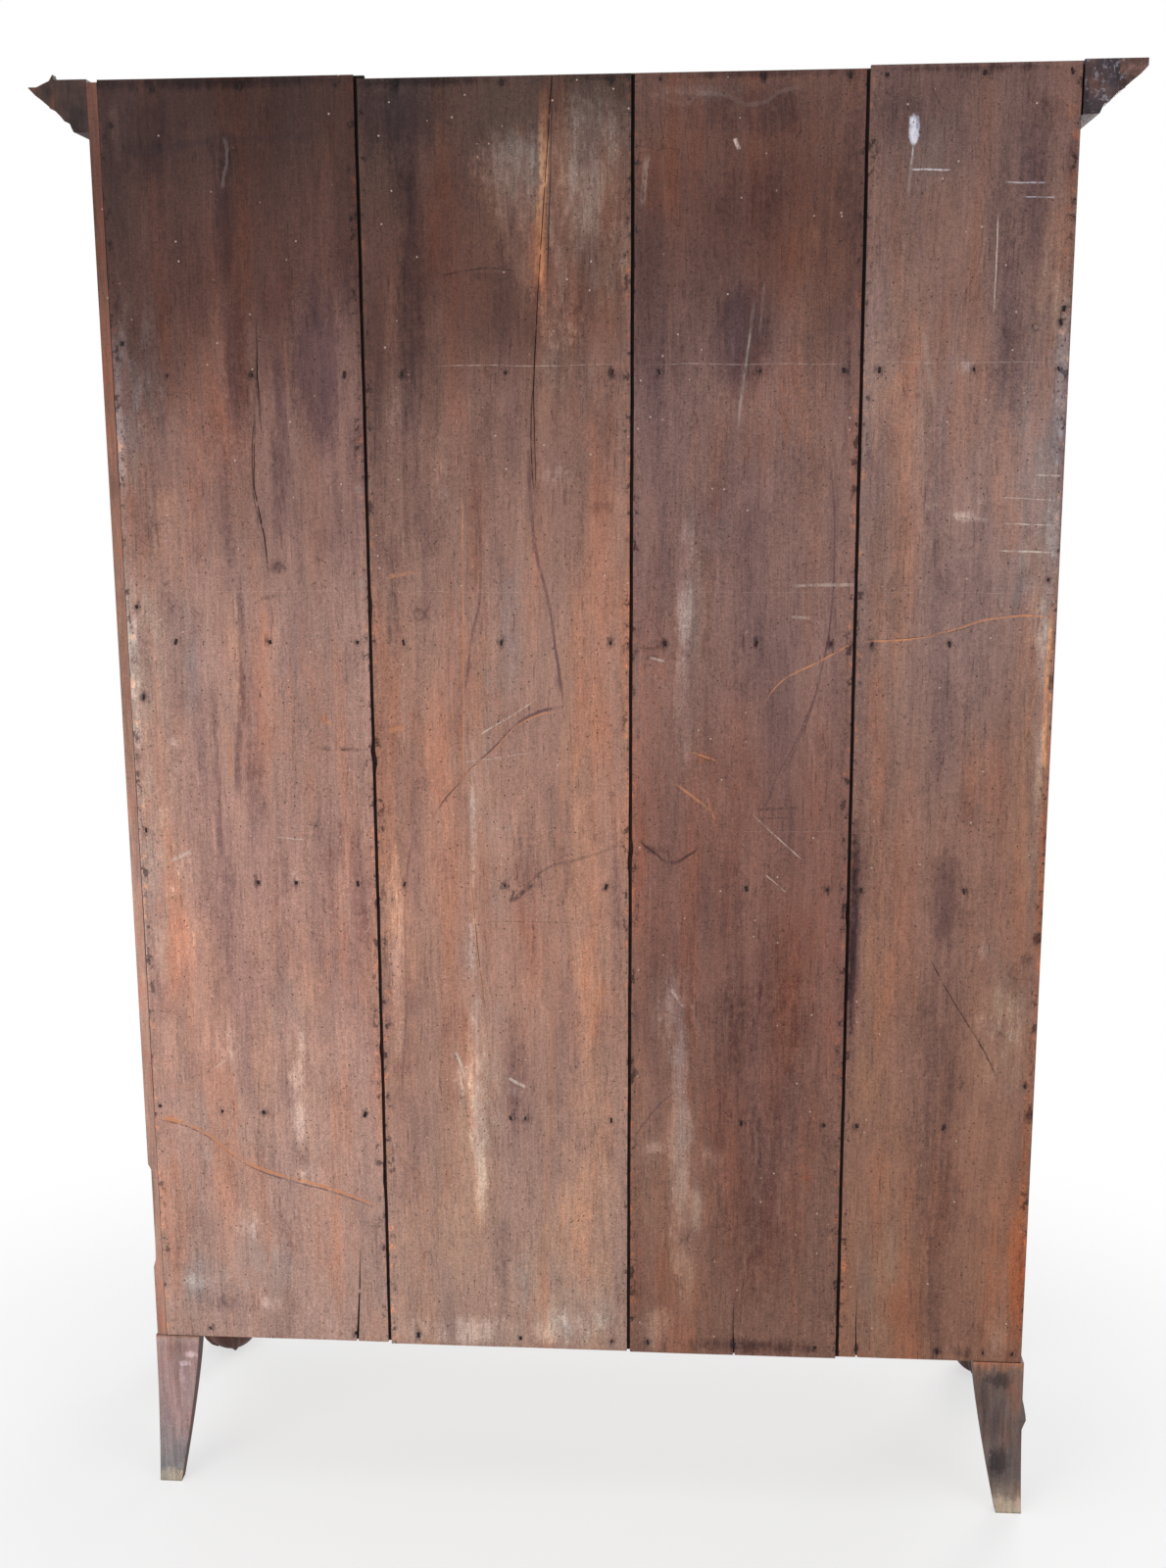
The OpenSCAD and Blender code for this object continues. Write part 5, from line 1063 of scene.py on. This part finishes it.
# Nails. Cut iron with small square heads, rusted nearly black. They were driven through the
# boards into the edge of each shelf and punched just level with the wood.
def old_metal(name, seed, stops, stained, rough, shine=1.0):
    """Aged metal: clouded, grimed or rusted in patches and rubbed cleaner on its edges."""
    finish, tree = new_finish(name)
    point = where(tree)
    cloud = noise(tree, point, 120, (1, 1, 1), 5, seed, 0.65)
    colour = tones(tree, cloud, stops)
    grime = noise(tree, point, 420, (1, 1, 1), 4, seed + 2, 0.7)
    spread = fade(tree, plus(tree, grime, times(tree, cloud, 0.6)), 0.80, 1.02)
    eased = ease(tree, 0.0006)
    spread = times(tree, spread, fade(tree, on_edge(tree, eased, 0.85), 0, 1, 1.0, 0.2))
    colour = blend(tree, times(tree, spread, 0.8), colour, paint(*stained))
    dull = fade(tree, cloud, 0.3, 0.7, rough - 0.08, rough + 0.08)
    dull = plus(tree, dull, times(tree, spread, 0.3))
    bare = fade(tree, spread, 0, 1, shine, 0.15 * shine)
    coat(tree, colour, dull, grime, 0.25, 0.0004, eased, {"Metallic": bare})
    return finish


bpy.ops.object.select_all(action="DESELECT")
bpy.ops.mesh.primitive_cone_add(vertices=4, radius1=0.0036, radius2=0.0021, depth=0.0008,
                                location=(0, CASE_BACK + 0.0002, 0),
                                rotation=(math.radians(-90), math.radians(45), 0))
pattern = bpy.context.object
bpy.ops.object.transform_apply(location=True, rotation=True, scale=True)
work(pattern, "dull_edge", "BEVEL", width=0.0003, segments=2)
heads = []
for number, (x, z) in enumerate(nails):
    head = bpy.data.objects.new("nail", pattern.data.copy())
    bpy.context.scene.collection.objects.link(head)
    turn = 0.30 * math.sin(number * 2.7)
    wide = 0.75 + 0.22 * math.sin(number * 5.1)
    tall = 1.35 + 0.45 * math.sin(number * 1.9)
    for vertex in head.data.vertices:
        a, b = vertex.co.x * wide, vertex.co.z * tall
        vertex.co.x = x + a * math.cos(turn) - b * math.sin(turn)
        vertex.co.z = z + a * math.sin(turn) + b * math.cos(turn)
    heads.append(head)
bpy.ops.object.select_all(action="DESELECT")
for head in heads:
    head.select_set(True)
bpy.context.view_layer.objects.active = heads[0]
bpy.ops.object.join()
heads[0].name = "board_nails"
bpy.data.objects.remove(pattern)
heads[0].data.materials.clear()
heads[0].data.materials.append(old_metal("nail_iron", 121.0, [
    (0.35, (16, 12, 12)), (0.55, (34, 24, 22)), (0.75, (64, 42, 34))
], (70, 40, 28), 0.75, 0.35))
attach(heads[0], "case")
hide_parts("back_nails")


# Front legs. Cabriole legs carved from one block each, with claws that grip a ball, and
# polished; the talons and the ball are rubbed pale where brooms and feet have caught them.
def carve_leg(name, replaced, finish):
    bpy.ops.object.select_all(action="DESELECT")
    leg = bpy.data.objects.new(name, nodes[replaced].data.copy())
    bpy.context.scene.collection.objects.link(leg)
    leg.select_set(True)
    bpy.context.view_layer.objects.active = leg
    bpy.ops.object.mode_set(mode="EDIT")
    bpy.ops.mesh.select_all(action="SELECT")
    bpy.ops.mesh.remove_doubles(threshold=0.00002)
    bpy.ops.object.mode_set(mode="OBJECT")
    work(leg, "carved", "REMESH", mode="VOXEL", voxel_size=0.0018)
    work(leg, "sanded", "SMOOTH", factor=0.5, iterations=7)
    bpy.ops.object.shade_smooth()
    leg.data.materials.clear()
    leg.data.materials.append(finish)
    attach(leg, "case")
    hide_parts(replaced)


for number, side in enumerate(("left", "right")):
    carve_leg("carved_leg_" + side, "front_leg_" + side,
              polished(f"leg_{side}_wood", 131.0 + number, UPRIGHT, 0.9, 0.9))


# Glass. Thin drawn window glass in the sides and the doors, faintly wavy and a little dusty,
# cut to the frames and held in their rebates.
def window_glass(name, seed):
    """Clear glass that lets light and soft shadows through."""
    finish, tree = new_finish(name)
    point = where(tree)
    waves = noise(tree, point, 11, (1, 1, 0.5), 2, seed)
    bump = node(tree, "Bump", {"Height": waves, "Strength": 0.06, "Distance": 0.003}).outputs[0]
    film = noise(tree, point, 9, (1, 1, 1), 5, seed + 2, 0.65)
    smear = fade(tree, film, 0.4, 0.7, 0.0, 0.05)
    pane = node(tree, "BsdfPrincipled", {"Base Color": (0.95, 0.98, 0.965, 1), "Roughness": smear,
                                         "Transmission Weight": 1.0, "IOR": 1.45, "Normal": bump}).outputs[0]
    haze = node(tree, "BsdfDiffuse", {"Color": paint(170, 164, 154)}).outputs[0]
    pane = node(tree, "MixShader", {0: fade(tree, film, 0.5, 0.8, 0.0, 0.025), 1: pane, 2: haze}).outputs[0]
    clear = node(tree, "BsdfTransparent", {"Color": (0.93, 0.96, 0.95, 1)}).outputs[0]
    path = node(tree, "LightPath").outputs
    light = calc(tree, "MAXIMUM", path["Is Shadow Ray"], path["Is Diffuse Ray"])
    pane = node(tree, "MixShader", {0: light, 1: pane, 2: clear}).outputs[0]
    node(tree, "OutputMaterial", {"Surface": pane})
    return finish


for number, name in enumerate(("left_side_glass", "right_side_glass", "left_door_glass", "right_door_glass")):
    dress(name, window_glass(name + "_pane", 141.0 + number))


# Doors. Two framed doors of the same mahogany: stiles the full height, rails between them,
# a raised panel below and thin moulded bars above.
for number, side in enumerate(("left_door", "right_door")):
    dress(side + "_stiles", polished(side + "_stile_wood", 151.0 + number, UPRIGHT))
    dress(side + "_rails", polished(side + "_rail_wood", 153.0 + number, ACROSS))
    dress(side + "_glazing_bars", polished(side + "_bar_wood", 155.0 + number, UPRIGHT, 0.95))
    dress(side + "_panel", polished(side + "_panel_wood", 157.0 + number, UPRIGHT, 1.15))


# Hinges, bolts, keepers, escutcheon and key in cast and drawn brass, browned by age; the
# bolts and the key are iron.
OLD_BRASS = [(0.34, (112, 82, 40)), (0.52, (164, 126, 66)), (0.70, (192, 154, 88))]
OLD_IRON = [(0.35, (52, 48, 46)), (0.55, (78, 72, 68)), (0.75, (104, 96, 90))]
for number, name in enumerate(("case_hinge_leaves", "hinge_pins", "left_door_hinge_leaves",
                               "right_door_hinge_leaves", "left_door_bolt_guides", "right_door_lock_case",
                               "lock_bolt", "bolt_keepers", "escutcheon")):
    dress(name, old_metal(name + "_brass", 161.0 + number, OLD_BRASS, (72, 54, 34), 0.36))
for number, name in enumerate(("top_bolt", "bottom_bolt", "key")):
    dress(name, old_metal(name + "_iron", 181.0 + number, OLD_IRON, (66, 44, 34), 0.5, 0.9))
